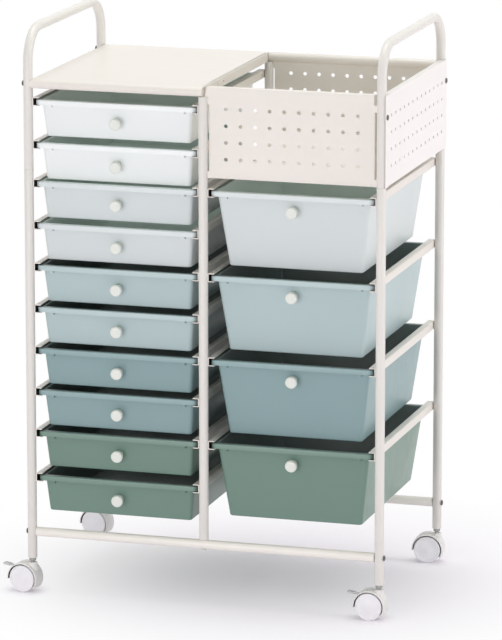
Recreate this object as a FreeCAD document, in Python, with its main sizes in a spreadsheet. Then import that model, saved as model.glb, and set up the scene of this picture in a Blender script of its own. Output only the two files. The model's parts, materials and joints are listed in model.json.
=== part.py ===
import FreeCAD, Part
import os
import re

import Sketcher

from FreeCAD import Placement, Rotation, Vector

# Driving sizes in millimetres and degrees: name, value, what the value sets.
SIZES = [
    ("frame_width", 620, "corner post axis to corner post axis, across the front"),
    ("frame_depth", 390, "corner post axis to corner post axis, front to back"),
    ("cart_shift", 20, "offset of the frame that puts the origin under the middle of the overall box"),
    ("tube_dia", 16, "outside diameter of every frame tube"),
    ("tube_wall", 1.2, "wall of the frame tube"),
    ("rail_height", 108, "axis of the bottom rails above the floor"),
    ("shelf_height", 898.5, "top of the shelf's rolled edges above the floor"),
    ("split_drop", 154.5, "joint between a corner post and the handle tube, below the shelf"),
    ("handle_rise", 82.5, "axis of a handle's top bar above the shelf"),
    ("handle_bend", 42, "bend radius of a handle, on the tube's axis"),
    ("spigot_length", 30, "swaged end of a handle leg inside the post"),
    ("spigot_gap", 0.1, "radial gap between swaged end and post bore"),
    ("cope_gap", 0.1, "gap between a tube's end and the tube it meets"),
    ("seat_gap", 0.1, "gap between pieces that rest on or are welded to each other"),
    ("insert_length", 22, "threaded insert in the end of a tube"),
    ("bolt_dia", 6, "shank of a frame bolt"),
    ("bolt_head_dia", 9.5, "head of a frame bolt"),
    ("bolt_head", 2.4, "height of a bolt's head"),
    ("bolt_play", 0.3, "radial clearance of a bolt in a through hole"),
    ("thread_play", 0.05, "radial clearance of a bolt in its insert"),
    ("bolt_grip", 16, "length of bolt inside its insert"),
    ("sheet_wall", 1.2, "sheet of shelf, panels and basket floor"),
    ("shelf_dip", 0.4, "shelf's flat below the top of its rolled edges"),
    ("shelf_lip", 12, "fold at the shelf's left edge"),
    ("lip_hole", 4, "small holes in the shelf's right fold"),
    ("lip_hole_front", 85, "first lip hole from the front roll's axis"),
    ("lip_hole_step", 33, "distance between the lip holes"),
    ("panel_drop", 154, "lower edge of the basket panels below the shelf"),
    ("panel_rise", 1.5, "upper edge of the front and side panels above the shelf"),
    ("panel_fold", 10, "folds along the edges of the basket panels"),
    ("panel_bend", 2.2, "outside radius of the top folds"),
    ("panel_gap", 2, "slit between a front or back panel's edge and the middle post"),
    ("panel_slit", 5, "slit between a front or back panel's edge and the right post"),
    ("panel_tab", 12, "height of the tabs that bridge the slit"),
    ("panel_ear", 3, "front panel's upper corner from the shelf's edge, above the middle post"),
    ("panel_overhang", 6, "side panel past the post axes, front and back"),
    ("side_bolt_drop", 34.5, "side panel's bolts below the shelf"),
    ("side_bolt_grip", 13, "shank length of a side panel's bolt"),
    ("hole_dia", 6.6, "holes of the basket panels"),
    ("hole_inset", 30, "outer hole columns from the edges of front, back and floor"),
    ("hole_inset_side", 33, "outer hole columns from the side panel's edges"),
    ("hole_first", 33, "lowest hole row above the panels' lower edge"),
    ("hole_last", 37, "highest hole row below the front and side panels' upper edge"),
    ("first_drop", 35.5, "rim of the highest small drawer below the shelf"),
    ("upper_pitch", 73.9, "first to second drawer level"),
    ("joint_pitch", 66.6, "second to third drawer level, across the post joint"),
    ("lower_pitch", 72.7, "from level to level below the post joint"),
    ("last_pitch", 78.3, "ninth to tenth drawer level"),
    ("runner_height", 15, "outside height of a runner channel"),
    ("runner_depth", 11, "outside depth of a runner channel"),
    ("runner_wall", 1.5, "sheet of a runner channel"),
    ("runner_overrun", 2, "runner past the post axes, front and back"),
    ("slide_gap", 0.3, "running gap between a drawer's rim and its runner"),
    ("rim_play", 2.2, "gap between a drawer's rim and a runner's web"),
    ("rim_front", 0, "drawer rim's front edge behind the front posts' axes"),
    ("rim_short", 10, "drawer rim's back edge before the back posts' axes"),
    ("rim_height", 8.8, "turned down lip of the rim"),
    ("rim_wall", 2, "wall of the rim and its lip"),
    ("rim_corner", 9, "corner radius of the rim, seen from above"),
    ("ledge_side", 8.8, "rim past the drawer body, at the sides"),
    ("ledge_end", 8, "rim past the drawer body, at front and back"),
    ("bin_corner", 8, "corner radius of the drawer body at its top"),
    ("bin_corner_low", 8, "corner radius of the drawer body at its floor"),
    ("bin_wall", 2, "wall of a drawer"),
    ("small_draft", 5.5, "slope of a small drawer's walls, in degrees"),
    ("large_draft", 7.5, "slope of a large drawer's walls, in degrees"),
    ("bin_foot", 3.5, "rounding between a drawer's walls and its floor"),
    ("small_gap", 2.6, "small drawer's floor above the rim of the next at the closest pitch"),
    ("large_gap", 14.4, "large drawer's floor above the rim of the next"),
    ("small_knob_drop", 34, "knob below the rim on a small drawer"),
    ("large_knob_drop", 28, "knob below the rim on a large drawer"),
    ("knob_dia", 20.5, "head of a knob"),
    ("knob_head", 8, "length of a knob's head"),
    ("knob_round", 3, "rounding of a knob's head"),
    ("knob_neck", 10, "length of a knob's neck"),
    ("neck_base_dia", 14, "knob's neck at the drawer"),
    ("neck_top_dia", 10, "knob's neck at its head"),
    ("screw_dia", 4, "shank of a knob's screw"),
    ("screw_head_dia", 8, "head of a knob's screw"),
    ("screw_head", 2.2, "height of a knob screw's head"),
    ("screw_bite", 12, "length of screw inside the knob"),
    ("screw_play", 0.2, "radial clearance of a screw in the drawer's wall"),
    ("wheel_dia", 48, "caster wheel"),
    ("wheel_width", 10, "width of one caster wheel"),
    ("wheel_round", 2.5, "rounding of a wheel's edges"),
    ("wheel_gap", 0.5, "gap between a wheel and the caster's web"),
    ("caster_trail", 15, "wheel axle behind the swivel axis"),
    ("web_width", 9, "caster web between the two wheels"),
    ("hood_gap", 1.8, "gap between wheel and hood"),
    ("hood_wall", 2, "wall of the hood"),
    ("hood_arc", 220, "arc of the hood, in degrees"),
    ("hood_start", -35, "lower end of the hood on the stem's side, in degrees from level"),
    ("axle_dia", 6, "caster axle"),
    ("axle_fit", 0.05, "radial clearance of the axle"),
    ("axle_cover", 3, "wheel's outer wall over the axle's end"),
    ("hub_dia", 16, "web's hub round the axle"),
    ("boss_dia", 16, "hood's boss round the stem"),
    ("boss_rise", 1.2, "top of the boss above the hood"),
    ("boss_length", 25, "height of the boss"),
    ("stem_show", 8, "gap between the boss and the post's foot"),
    ("stem_dia", 8, "stem inside the post"),
    ("stem_length", 28, "stem inside the post"),
    ("stem_collar_dia", 12, "collar under the post"),
    ("stem_collar", 5, "height of the collar"),
    ("pin_dia", 6, "stem's pin inside the hood"),
    ("pin_depth", 19, "length of the pin inside the boss"),
    ("pin_fit", 0.05, "radial clearance of the pin in the hood"),
    ("plug_length", 34, "stem socket in a post's lower end"),
    ("lever_inset", 2.5, "brake lever's pivot inside the wheels' rim"),
    ("lever_pivot_angle", 124, "direction of that pivot from the axle, in degrees"),
    ("lever_slope", 7, "brake lever's rise from its pivot outwards, in degrees from level"),
    ("lever_width", 5, "arm of the brake lever"),
    ("lever_wall", 3.4, "thickness of the brake lever"),
    ("lever_play", 0.4, "gap beside the lever's arm"),
    ("lever_hub_dia", 8, "lever's hub round its pivot"),
    ("lever_pin_dia", 3, "pivot pin of the lever"),
    ("lever_pin_short", 0.2, "pivot pin short of the web's faces"),
    ("paddle_start", 15, "paddle from the lever's pivot"),
    ("paddle_length", 13.5, "length of the lever's paddle"),
    ("paddle_width", 12, "width of the lever's paddle"),
    ("slot_floor", 5, "lever slot above the axle's axis"),
]

# Corner of the frame: name, side (-1 left, 1 right), end (-1 front, 1 back), turn of its caster in degrees.
CORNERS = [
    ("front_left", -1, -1, -8),
    ("front_right", 1, -1, -1),
    ("back_left", -1, 1, -8),
    ("back_right", 1, 1, 4),
]
SMALL_COUNT = 10
LARGE_LEVELS = [2, 4, 6, 8]
HOLE_COLUMNS = 10
HOLE_COLUMNS_SIDE = 13
HOLE_ROWS = 4
EDGE_TOLERANCE = 0.01

doc = FreeCAD.newDocument("RollingDrawerCart")
sheet = doc.addObject("Spreadsheet::Sheet", "Sizes")
for row, (alias, size, note) in enumerate(SIZES, 1):
    sheet.set(f"A{row}", alias)
    sheet.set(f"B{row}", str(size))
    sheet.set(f"C{row}", note)
    sheet.setAlias(f"B{row}", alias)
doc.recompute()

ALIAS = re.compile(r"\b(" + "|".join(alias for alias, size, note in SIZES) + r")\b")
ALONG = {"X": Rotation(Vector(0, 1, 0), 90), "Y": Rotation(Vector(1, 0, 0), -90), "Z": Rotation()}
nodes = []


def bind(item, formulas):
    """Ties properties to the sheet. A formula names the sheet's sizes by their aliases."""
    for path, formula in formulas.items():
        item.setExpression(path, ALIAS.sub(r"Sizes.\1", str(formula)))


def place(item, x, y, z, turn=Rotation()):
    """Gives an item its turn, and ties its position to the sheet."""
    item.Placement = Placement(Vector(), turn)
    bind(item, {"Placement.Base.x": x, "Placement.Base.y": y, "Placement.Base.z": z})


def new_body(label, x=0, y=0, z=0, turn=Rotation()):
    """Starts a sub-part whose own origin stands at x, y, z in the frame's coordinates."""
    body = doc.addObject("PartDesign::Body", label)
    body.Label = label
    place(body, f"cart_shift + {x}", y, z, turn)
    nodes.append(body)
    return body


def cylinder(body, name, dia, length, at=(0, 0, 0), along="Z", cut=False, turn=None):
    """Adds or cuts a round bar that starts at a point and runs along an axis."""
    feature = body.newObject("PartDesign::%sCylinder" % ("Subtractive" if cut else "Additive"), name)
    place(feature, *at, turn or ALONG[along])
    bind(feature, {"Radius": f"({dia}) / 2", "Height": length})
    return feature


def block(body, name, corner, size, cut=False, turn=Rotation()):
    """Adds or cuts a box, given its low corner and its three sizes."""
    feature = body.newObject("PartDesign::%sBox" % ("Subtractive" if cut else "Additive"), name)
    place(feature, *corner, turn)
    bind(feature, dict(zip(("Length", "Width", "Height"), size)))
    return feature


def origin_plane(body, role):
    """One of a body's own origin planes."""
    return next(item for item in body.Origin.OriginFeatures if item.Role == role)


def near(a, b):
    """True where two lengths are the same."""
    return abs(a - b) < EDGE_TOLERANCE


def round_edges(body, feature, radius, test):
    """Fillets the edges that pass a test, which is given an edge's box and the whole shape's box."""
    doc.recompute()
    whole = feature.Shape.BoundBox
    names = [f"Edge{n}" for n, edge in enumerate(feature.Shape.Edges, 1) if test(edge.BoundBox, whole)]
    fillet = body.newObject("PartDesign::Fillet", "Round")
    fillet.Base = (feature, names)
    bind(fillet, {"Radius": radius})
    return fillet


def rounded_rectangle(body, name, width, depth, radius, height=0):
    """Sketches a centred rectangle with round corners, at a height on the body's own axis."""
    sketch = body.newObject("Sketcher::SketchObject", name)
    sketch.AttachmentSupport = [(origin_plane(body, "XY_Plane"), "")]
    sketch.MapMode = "FlatFace"
    bind(sketch, {"AttachmentOffset.Base.z": height})
    half_x, half_y, corner = 130.0, 170.0, 20.0
    turns = [(1, 1), (-1, 1), (-1, -1), (1, -1)]
    for n, (sx, sy) in enumerate(turns):
        centre = Vector(sx * (half_x - corner), sy * (half_y - corner), 0)
        circle = Part.Circle(centre, Vector(0, 0, 1), corner)
        start = FreeCAD.Units.Quantity(f"{90 * n} deg").getValueAs("rad").Value
        quarter = FreeCAD.Units.Quantity("90 deg").getValueAs("rad").Value
        sketch.addGeometry(Part.ArcOfCircle(circle, start, start + quarter))
    ends = [
        (Vector(half_x - corner, half_y, 0), Vector(corner - half_x, half_y, 0)),
        (Vector(-half_x, half_y - corner, 0), Vector(-half_x, corner - half_y, 0)),
        (Vector(corner - half_x, -half_y, 0), Vector(half_x - corner, -half_y, 0)),
        (Vector(half_x, corner - half_y, 0), Vector(half_x, half_y - corner, 0)),
    ]
    for first, last in ends:
        sketch.addGeometry(Part.LineSegment(first, last))
    constraint = Sketcher.Constraint
    for n in range(4):
        sketch.addConstraint(constraint("Tangent", n, 2, n + 4, 1))
        sketch.addConstraint(constraint("Tangent", n + 4, 2, (n + 1) % 4, 1))
        sketch.addConstraint(constraint("Horizontal" if n % 2 == 0 else "Vertical", n + 4))
    for n in range(1, 4):
        sketch.addConstraint(constraint("Equal", 0, n))
    sketch.addConstraint(constraint("Symmetric", 0, 3, 2, 3, -1, 1))
    sizes = [
        sketch.addConstraint(constraint("DistanceX", 5, 1, 7, 1, 2 * half_x)),
        sketch.addConstraint(constraint("DistanceY", 6, 1, 4, 1, 2 * half_y)),
        sketch.addConstraint(constraint("Radius", 0, corner)),
    ]
    for index, formula in zip(sizes, (width, depth, radius)):
        bind(sketch, {f"Constraints[{index}]": formula})
    return sketch


def loft(body, name, sections, cut=False):
    """Joins two outlines with straight walls, as a solid or as a hollow."""
    feature = body.newObject("PartDesign::%sLoft" % ("Subtractive" if cut else "Additive"), name)
    feature.Profile = sections[0]
    feature.Sections = sections[1:]
    feature.Ruled = True
    return feature


# Places and sizes that several pieces share, as formulas.
HALF_WIDTH = "frame_width / 2"
HALF_DEPTH = "frame_depth / 2"
TUBE_BORE = "(tube_dia - 2 * tube_wall)"
SPLIT = "(shelf_height - split_drop)"
SHELF_AXIS = "(shelf_height - tube_dia / 2)"
MID_TOP = "(shelf_height - tube_dia - seat_gap)"
PANEL_BOTTOM = "(shelf_height - panel_drop)"
PANEL_HEIGHT = "(panel_drop + panel_rise)"
PANEL_INSET = "(tube_dia / 2 + panel_gap)"
PANEL_WIDTH = f"(frame_width / 2 - {PANEL_INSET} - tube_dia / 2 - panel_slit)"
PANEL_DEPTH = "(frame_depth + 2 * panel_overhang)"
SIDE_BOLT = "(shelf_height - side_bolt_drop)"
HOLE_STEP_FRONT = f"(({PANEL_WIDTH} - 2 * hole_inset) / {HOLE_COLUMNS - 1})"
HOLE_STEP_SIDE = f"(({PANEL_DEPTH} - 2 * hole_inset_side) / {HOLE_COLUMNS_SIDE - 1})"
HOLE_STEP_UP = f"(({PANEL_HEIGHT} - hole_first - hole_last) / {HOLE_ROWS - 1})"
RIM_WIDTH = "(frame_width / 2 - tube_dia - 2 * (seat_gap + runner_wall + rim_play))"
RIM_DEPTH = "(frame_depth - rim_front - rim_short)"
RIM_MIDDLE = f"(rim_front - frame_depth / 2 + {RIM_DEPTH} / 2)"
DRAWER_HEIGHT = {
    "small": "(min(upper_pitch; joint_pitch; lower_pitch) - small_gap)",
    "large": "(2 * lower_pitch - large_gap)",
}
WHEEL_RADIUS = "(wheel_dia / 2)"
HOOD_INSIDE = "(wheel_dia / 2 + hood_gap)"
HOOD_WIDTH = "(web_width + 2 * (wheel_gap + wheel_width))"
BOSS_TOP = f"({WHEEL_RADIUS} + {HOOD_INSIDE} + hood_wall + boss_rise)"
POST_FOOT = f"({BOSS_TOP} + stem_show)"
LEVELS = ["shelf_height - first_drop", "shelf_height - first_drop - upper_pitch"]
LEVELS += [f"{LEVELS[1]} - joint_pitch - {n} * lower_pitch" for n in range(SMALL_COUNT - 3)]
LEVELS += [f"{LEVELS[-1]} - last_pitch"]


def make_corner_post(name, side, end):
    """Lower corner tube: stem socket in its foot, bolt hole for the bottom rail."""
    body = new_body(f"{name}_post", f"{side} * {HALF_WIDTH}", f"{end} * {HALF_DEPTH}", POST_FOOT)
    length = f"{SPLIT} - {POST_FOOT}"
    cylinder(body, "Tube", "tube_dia", length)
    cylinder(body, "Bore", TUBE_BORE, length, (0, 0, "plug_length"), cut=True)
    cylinder(body, "Socket", "stem_dia + 2 * thread_play", "plug_length", cut=True)
    cylinder(body, "BoltHole", "bolt_dia + 2 * bolt_play", "tube_dia",
             ("-tube_dia / 2", 0, f"rail_height - {POST_FOOT}"), "X", cut=True)


def make_handle(name, side):
    """Bent tube of one end frame: two legs that plug into the posts, joined by the push bar."""
    body = new_body(f"{name}_handle", f"{side} * {HALF_WIDTH}", 0, SPLIT)
    bar_height = "(split_drop + handle_rise)"
    bend_height = f"{bar_height} - handle_bend"
    bar_half = "(frame_depth / 2 - handle_bend)"
    corners = {
        -1: Rotation(Vector(0, -1, 0), Vector(0, 0, 1), Vector(-1, 0, 0), "ZXY"),
        1: Rotation(Vector(0, 0, 1), Vector(0, 1, 0), Vector(-1, 0, 0), "ZXY"),
    }
    for cut, dia in ((False, "tube_dia"), (True, TUBE_BORE)):
        for end, turn in corners.items():
            leg_y = f"{end} * {HALF_DEPTH}"
            if not cut:
                cylinder(body, "Spigot", f"{TUBE_BORE} - 2 * spigot_gap", "spigot_length",
                         (0, leg_y, "-spigot_length"))
            cylinder(body, "Leg", dia, bend_height, (0, leg_y, 0), cut=cut)
            kind = "Subtractive" if cut else "Additive"
            bend = body.newObject(f"PartDesign::{kind}Torus", "Bend")
            place(bend, 0, f"{end} * {bar_half}", bend_height, turn)
            bind(bend, {"Radius1": "handle_bend", "Radius2": f"{dia} / 2", "Angle3": 90})
        cylinder(body, "Bar", dia, f"2 * {bar_half}",
                 (0, f"-{bar_half}", bar_height), "Y", cut=cut)
    for end in corners:
        leg_y = f"{end} * {HALF_DEPTH}"
        cylinder(body, "SpigotBore", f"{TUBE_BORE} - 2 * tube_wall - 2 * spigot_gap", "spigot_length",
                 (0, leg_y, "-spigot_length"), cut=True)
        if side < 0:
            start, length, height = "-tube_dia / 2", "tube_dia", SHELF_AXIS
        else:
            start, length, height = 0, "tube_dia / 2", SIDE_BOLT
        cylinder(body, "BoltHole", "bolt_dia + 2 * bolt_play", length,
                 (start, leg_y, f"{height} - {SPLIT}"), "X", cut=True)


def make_bottom_rail(name, end):
    """Tube between the feet of two posts, cut square and threaded at both ends."""
    body = new_body(f"bottom_{name}_rail", 0, f"{end} * {HALF_DEPTH}", "rail_height")
    half = f"({HALF_WIDTH} - tube_dia / 2 - cope_gap)"
    cylinder(body, "Tube", "tube_dia", f"2 * {half}", (f"-{half}", 0, 0), "X")
    clear = f"({HALF_WIDTH} - tube_dia / 2 - insert_length)"
    cylinder(body, "Bore", TUBE_BORE, f"2 * {clear}", (f"-{clear}", 0, 0), "X", cut=True)
    cylinder(body, "Thread", "bolt_dia + 2 * thread_play", "frame_width",
             (f"-{HALF_WIDTH}", 0, 0), "X", cut=True)
    cylinder(body, "BoltHole", "bolt_dia + 2 * bolt_play", "tube_dia", (0, 0, "-tube_dia / 2"), cut=True)


def make_mid_post(name, end):
    """Middle tube: saddled on the bottom rail, its top under the shelf and the basket."""
    body = new_body(f"mid_{name}_post", 0, f"{end} * {HALF_DEPTH}", "rail_height")
    length = f"{MID_TOP} - rail_height"
    cylinder(body, "Tube", "tube_dia", length)
    cylinder(body, "Bore", TUBE_BORE, length, (0, 0, "tube_dia / 2 + insert_length"), cut=True)
    cylinder(body, "Thread", "bolt_dia + 2 * thread_play", "tube_dia / 2 + insert_length", cut=True)
    cylinder(body, "Saddle", "tube_dia + 2 * cope_gap", "2 * tube_dia", ("-tube_dia", 0, 0), "X", cut=True)


def make_runners(label, edge_x, facing, levels):
    """Runner channels down one side of a column, open towards its drawers. facing 1 opens to the right."""
    body = new_body(label, f"({edge_x} + {facing} * (tube_dia / 2 + seat_gap))")
    length = "frame_depth + 2 * runner_overrun"
    low_x, slot_x = (0, "runner_wall") if facing > 0 else ("-runner_depth", "-runner_depth")
    start = f"-{HALF_DEPTH} - runner_overrun"
    for level in levels:
        base = f"{LEVELS[level]} - rim_height - slide_gap - runner_wall"
        block(body, "Channel", (low_x, start, base), ("runner_depth", length, "runner_height"))
        block(body, "Slot", (slot_x, start, f"{base} + runner_wall"),
              ("runner_depth - runner_wall", length, "runner_height - 2 * runner_wall"), cut=True)


def make_top_shelf():
    """Sheet shelf over the small drawers: rolled front and back edges, folded side edges."""
    body = new_body("top_shelf", 0, 0, SHELF_AXIS)
    left = f"(tube_dia / 2 + seat_gap - {HALF_WIDTH})"
    top = "(tube_dia / 2 - shelf_dip)"
    front = f"-{HALF_DEPTH}"
    block(body, "Sheet", (left, front, f"{top} - sheet_wall"), (f"-{left}", "frame_depth", "sheet_wall"))
    block(body, "RightFold", ("-sheet_wall", front, f"-{top}"), ("sheet_wall", "frame_depth", f"2 * {top}"))
    block(body, "LeftFold", (left, front, f"{top} - shelf_lip"), ("sheet_wall", "frame_depth", "shelf_lip"))
    for end in (-1, 1):
        roll_y = f"{end} * {HALF_DEPTH}"
        cylinder(body, "Roll", "tube_dia", HALF_WIDTH, (f"-{HALF_WIDTH}", roll_y, 0), "X")
    for end in (-1, 1):
        roll_y = f"{end} * {HALF_DEPTH}"
        hollow = f"({HALF_WIDTH} - tube_dia / 2 - insert_length)"
        cylinder(body, "RollBore", TUBE_BORE, f"{hollow} - sheet_wall",
                 (f"-{hollow}", roll_y, 0), "X", cut=True)
        cylinder(body, "Thread", "bolt_dia + 2 * thread_play", "tube_dia / 2 + insert_length",
                 (f"-{HALF_WIDTH}", roll_y, 0), "X", cut=True)
        cylinder(body, "Cope", "tube_dia + 2 * cope_gap", "2 * tube_dia",
                 (f"-{HALF_WIDTH}", roll_y, "-tube_dia"), cut=True)
    for n in range(2):
        hole_y = f"{front} + lip_hole_front + {n} * lip_hole_step"
        cylinder(body, "LipHole", "lip_hole", "3 * sheet_wall", ("-2 * sheet_wall", hole_y, 0), "X", cut=True)


def make_top_back_rail():
    """Tube over the basket's back, from the shelf's edge to the back right post."""
    body = new_body("top_back_rail", 0, HALF_DEPTH, SHELF_AXIS)
    cylinder(body, "Tube", "tube_dia", f"{HALF_WIDTH} - seat_gap", ("seat_gap", 0, 0), "X")
    cylinder(body, "Bore", TUBE_BORE, HALF_WIDTH, along="X", cut=True)
    cylinder(body, "Cope", "tube_dia + 2 * cope_gap", "2 * tube_dia",
             (HALF_WIDTH, 0, "-tube_dia"), cut=True)


def perforate(body, first, along, steps, counts, axes):
    """Cuts a grid of round holes: one hole, repeated along two of the body's axes."""
    hole = cylinder(body, "Hole", "hole_dia", "4 * sheet_wall", first, along, cut=True)
    doc.recompute()
    pattern = body.newObject("PartDesign::LinearPattern", "Holes")
    pattern.Originals = [hole]
    pattern.Direction = (origin_plane(body, f"{axes[0]}_Axis"), [""])
    pattern.Direction2 = (origin_plane(body, f"{axes[1]}_Axis"), [""])
    pattern.Occurrences, pattern.Occurrences2 = counts
    bind(pattern, {
        "Length": f"{counts[0] - 1} * {steps[0]}",
        "Length2": f"{counts[1] - 1} * {steps[1]}",
    })
    body.Tip = pattern


def make_basket_wall(label, end, height, fold_top):
    """Perforated wall between a middle post and a right post, with a fold that carries the floor."""
    body = new_body(label, PANEL_INSET, f"{end} * {HALF_DEPTH}", PANEL_BOTTOM)
    low = "-sheet_wall / 2" if end < 0 else "sheet_wall / 2 - panel_fold"
    block(body, "Wall", (0, "-sheet_wall / 2", 0), (PANEL_WIDTH, "sheet_wall", height))
    block(body, "LowerFold", (0, low, 0), (PANEL_WIDTH, "panel_fold", "sheet_wall"))
    left_reach, right_reach = "(panel_gap - seat_gap)", "(panel_slit - seat_gap)"
    for tab_z in (0, f"{MID_TOP} - {PANEL_BOTTOM} - panel_tab"):
        for tab_x, reach in ((f"-{left_reach}", left_reach), (PANEL_WIDTH, right_reach)):
            block(body, "Tab", (tab_x, "-sheet_wall / 2", tab_z), (reach, "sheet_wall", "panel_tab"))
    if fold_top:
        ear = f"({PANEL_INSET} - panel_ear)"
        above = f"({MID_TOP} + seat_gap - {PANEL_BOTTOM})"
        block(body, "Ear", (f"-{ear}", "-sheet_wall / 2", above),
              (ear, "sheet_wall", f"{height} - {above}"))
        fold = block(body, "UpperFold", (f"-{ear}", low, f"{height} - sheet_wall"),
                     (f"{PANEL_WIDTH} + {ear}", "panel_fold", "sheet_wall"))
        round_edges(body, fold, "panel_bend", lambda edge, whole: edge.XLength > whole.XLength / 2
                    and near(edge.ZMin, whole.ZMax) and near(edge.YMax, whole.YMin))
    perforate(body, ("hole_inset", "-2 * sheet_wall", "hole_first"), "Y",
              (HOLE_STEP_FRONT, HOLE_STEP_UP), (HOLE_COLUMNS, HOLE_ROWS), "XZ")


def make_side_panel():
    """Perforated wall on the outside of the right posts, bolted to both."""
    body = new_body("basket_side_panel", f"({HALF_WIDTH} + tube_dia / 2 + seat_gap)", 0, PANEL_BOTTOM)
    low_y = f"-{PANEL_DEPTH} / 2"
    between = "(frame_depth - tube_dia - 2 * panel_gap)"
    block(body, "Wall", (0, low_y, 0), ("sheet_wall", PANEL_DEPTH, PANEL_HEIGHT))
    for fold_z in (0, f"{PANEL_HEIGHT} - sheet_wall"):
        block(body, "Fold", ("sheet_wall - panel_fold", f"-{between} / 2", fold_z),
              ("panel_fold", between, "sheet_wall"))
    for end in (-1, 1):
        cylinder(body, "BoltHole", "bolt_dia + 2 * bolt_play", "3 * sheet_wall",
                 ("-sheet_wall", f"{end} * {HALF_DEPTH}", f"{SIDE_BOLT} - {PANEL_BOTTOM}"), "X", cut=True)
    perforate(body, ("-sheet_wall", f"{low_y} + hole_inset_side", "hole_first"), "X",
              (HOLE_STEP_SIDE, HOLE_STEP_UP), (HOLE_COLUMNS_SIDE, HOLE_ROWS), "YZ")


def make_basket_floor():
    """Perforated floor that lies on the folds of the basket's walls."""
    body = new_body("basket_floor", PANEL_INSET, 0, f"{PANEL_BOTTOM} + sheet_wall + seat_gap")
    half = f"({HALF_DEPTH} - sheet_wall / 2 - seat_gap)"
    wing = "(frame_depth / 2 - tube_dia / 2 - panel_gap)"
    reach = "(panel_slit + tube_dia)"
    block(body, "Sheet", (0, f"-{half}", 0), (PANEL_WIDTH, f"2 * {half}", "sheet_wall"))
    block(body, "Wing", (PANEL_WIDTH, f"-{wing}", 0), (reach, f"2 * {wing}", "sheet_wall"))
    perforate(body, ("hole_inset", f"hole_inset_side - {PANEL_DEPTH} / 2", "-2 * sheet_wall"), "Z",
              (HOLE_STEP_FRONT, HOLE_STEP_SIDE), (HOLE_COLUMNS, HOLE_COLUMNS_SIDE), "XY")


def bolt(body, at, length, along, away):
    """One bolt: its head's seat stands at a point, and its shank runs along or against an axis."""
    axis = "XYZ".index(along)
    head, shank = list(at), list(at)
    head[axis] = f"{at[axis]} - bolt_head" if away > 0 else at[axis]
    shank[axis] = at[axis] if away > 0 else f"{at[axis]} - {length}"
    cylinder(body, "Head", "bolt_head_dia", "bolt_head", head, along)
    cylinder(body, "Shank", "bolt_dia", length, shank, along)


def make_frame_bolts():
    """Bolts of the frame: bottom rails, middle posts, shelf and side panel."""
    body = new_body("frame_bolts")
    for end in (-1, 1):
        line_y = f"{end} * {HALF_DEPTH}"
        through = "(tube_dia + bolt_grip)"
        for side in (-1, 1):
            seat_x = f"{side} * ({HALF_WIDTH} + tube_dia / 2)"
            bolt(body, (seat_x, line_y, "rail_height"), through, "X", -side)
        bolt(body, (0, line_y, "rail_height - tube_dia / 2"), through, "Z", 1)
        bolt(body, (f"-{HALF_WIDTH} - tube_dia / 2", line_y, SHELF_AXIS), through, "X", 1)
        panel_x = f"({HALF_WIDTH} + tube_dia / 2 + seat_gap + sheet_wall)"
        bolt(body, (panel_x, line_y, SIDE_BOLT), "side_bolt_grip", "X", -1)


def make_drawer(label, column, level, kind):
    """One moulded drawer: sloping walls, turned down rim that hangs in the runners, knob hole."""
    body = new_body(label, f"{column} * frame_width / 4", RIM_MIDDLE, LEVELS[level])
    height = DRAWER_HEIGHT[kind]
    rim = rounded_rectangle(body, "RimOutline", RIM_WIDTH, RIM_DEPTH, "rim_corner")
    pad = body.newObject("PartDesign::Pad", "Rim")
    pad.Profile = rim
    pad.Reversed = True
    bind(pad, {"Length": "rim_height"})
    hollow = rounded_rectangle(body, "LipOutline", f"{RIM_WIDTH} - 2 * rim_wall",
                               f"{RIM_DEPTH} - 2 * rim_wall", "rim_corner - rim_wall", "-rim_height")
    pocket = body.newObject("PartDesign::Pocket", "LipHollow")
    pocket.Profile = hollow
    pocket.Reversed = True
    bind(pocket, {"Length": "rim_height - rim_wall"})
    walls = {}
    for name, wall, low in (("Body", "0", height), ("Inside", "bin_wall", f"{height} - bin_wall")):
        width = f"{RIM_WIDTH} - 2 * ledge_side - 2 * {wall}"
        depth = f"{RIM_DEPTH} - 2 * ledge_end - 2 * {wall}"
        slope = f"2 * ({low}) * tan({kind}_draft)"
        walls[name] = [
            rounded_rectangle(body, name + "Top", width, depth, f"bin_corner - {wall}"),
            rounded_rectangle(body, name + "Low", f"{width} - {slope}", f"{depth} - {slope}",
                              f"bin_corner_low - {wall}", f"-({low})"),
        ]
    loft(body, "Body", walls["Body"])
    inside = loft(body, "Inside", walls["Inside"], cut=True)
    foot = round_edges(body, inside, "bin_foot", lambda edge, whole: near(edge.ZMax, whole.ZMin))
    round_edges(body, foot, "bin_foot - bin_wall", lambda edge, whole: near(edge.ZLength, 0)
                and near(edge.ZMin, whole.ZMin + sheet.bin_wall))
    drop = f"{kind}_knob_drop"
    cylinder(body, "KnobHole", "screw_dia + 2 * screw_play", "6 * bin_wall",
             (0, f"{knob_seat(kind)} + 3 * bin_wall", f"-{drop} + 3 * bin_wall * tan({kind}_draft)"),
             cut=True, turn=knob_turn(kind))


def knob_seat(kind):
    """Front face of a drawer's wall at the height of its knob, from the rim's middle."""
    return f"(ledge_end - {RIM_DEPTH} / 2 + {kind}_knob_drop * tan({kind}_draft))"


def knob_turn(kind):
    """Turn that points a piece straight out of a drawer's sloping front."""
    return Rotation(Vector(1, 0, 0), 90 + getattr(sheet, f"{kind}_draft"))


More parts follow.
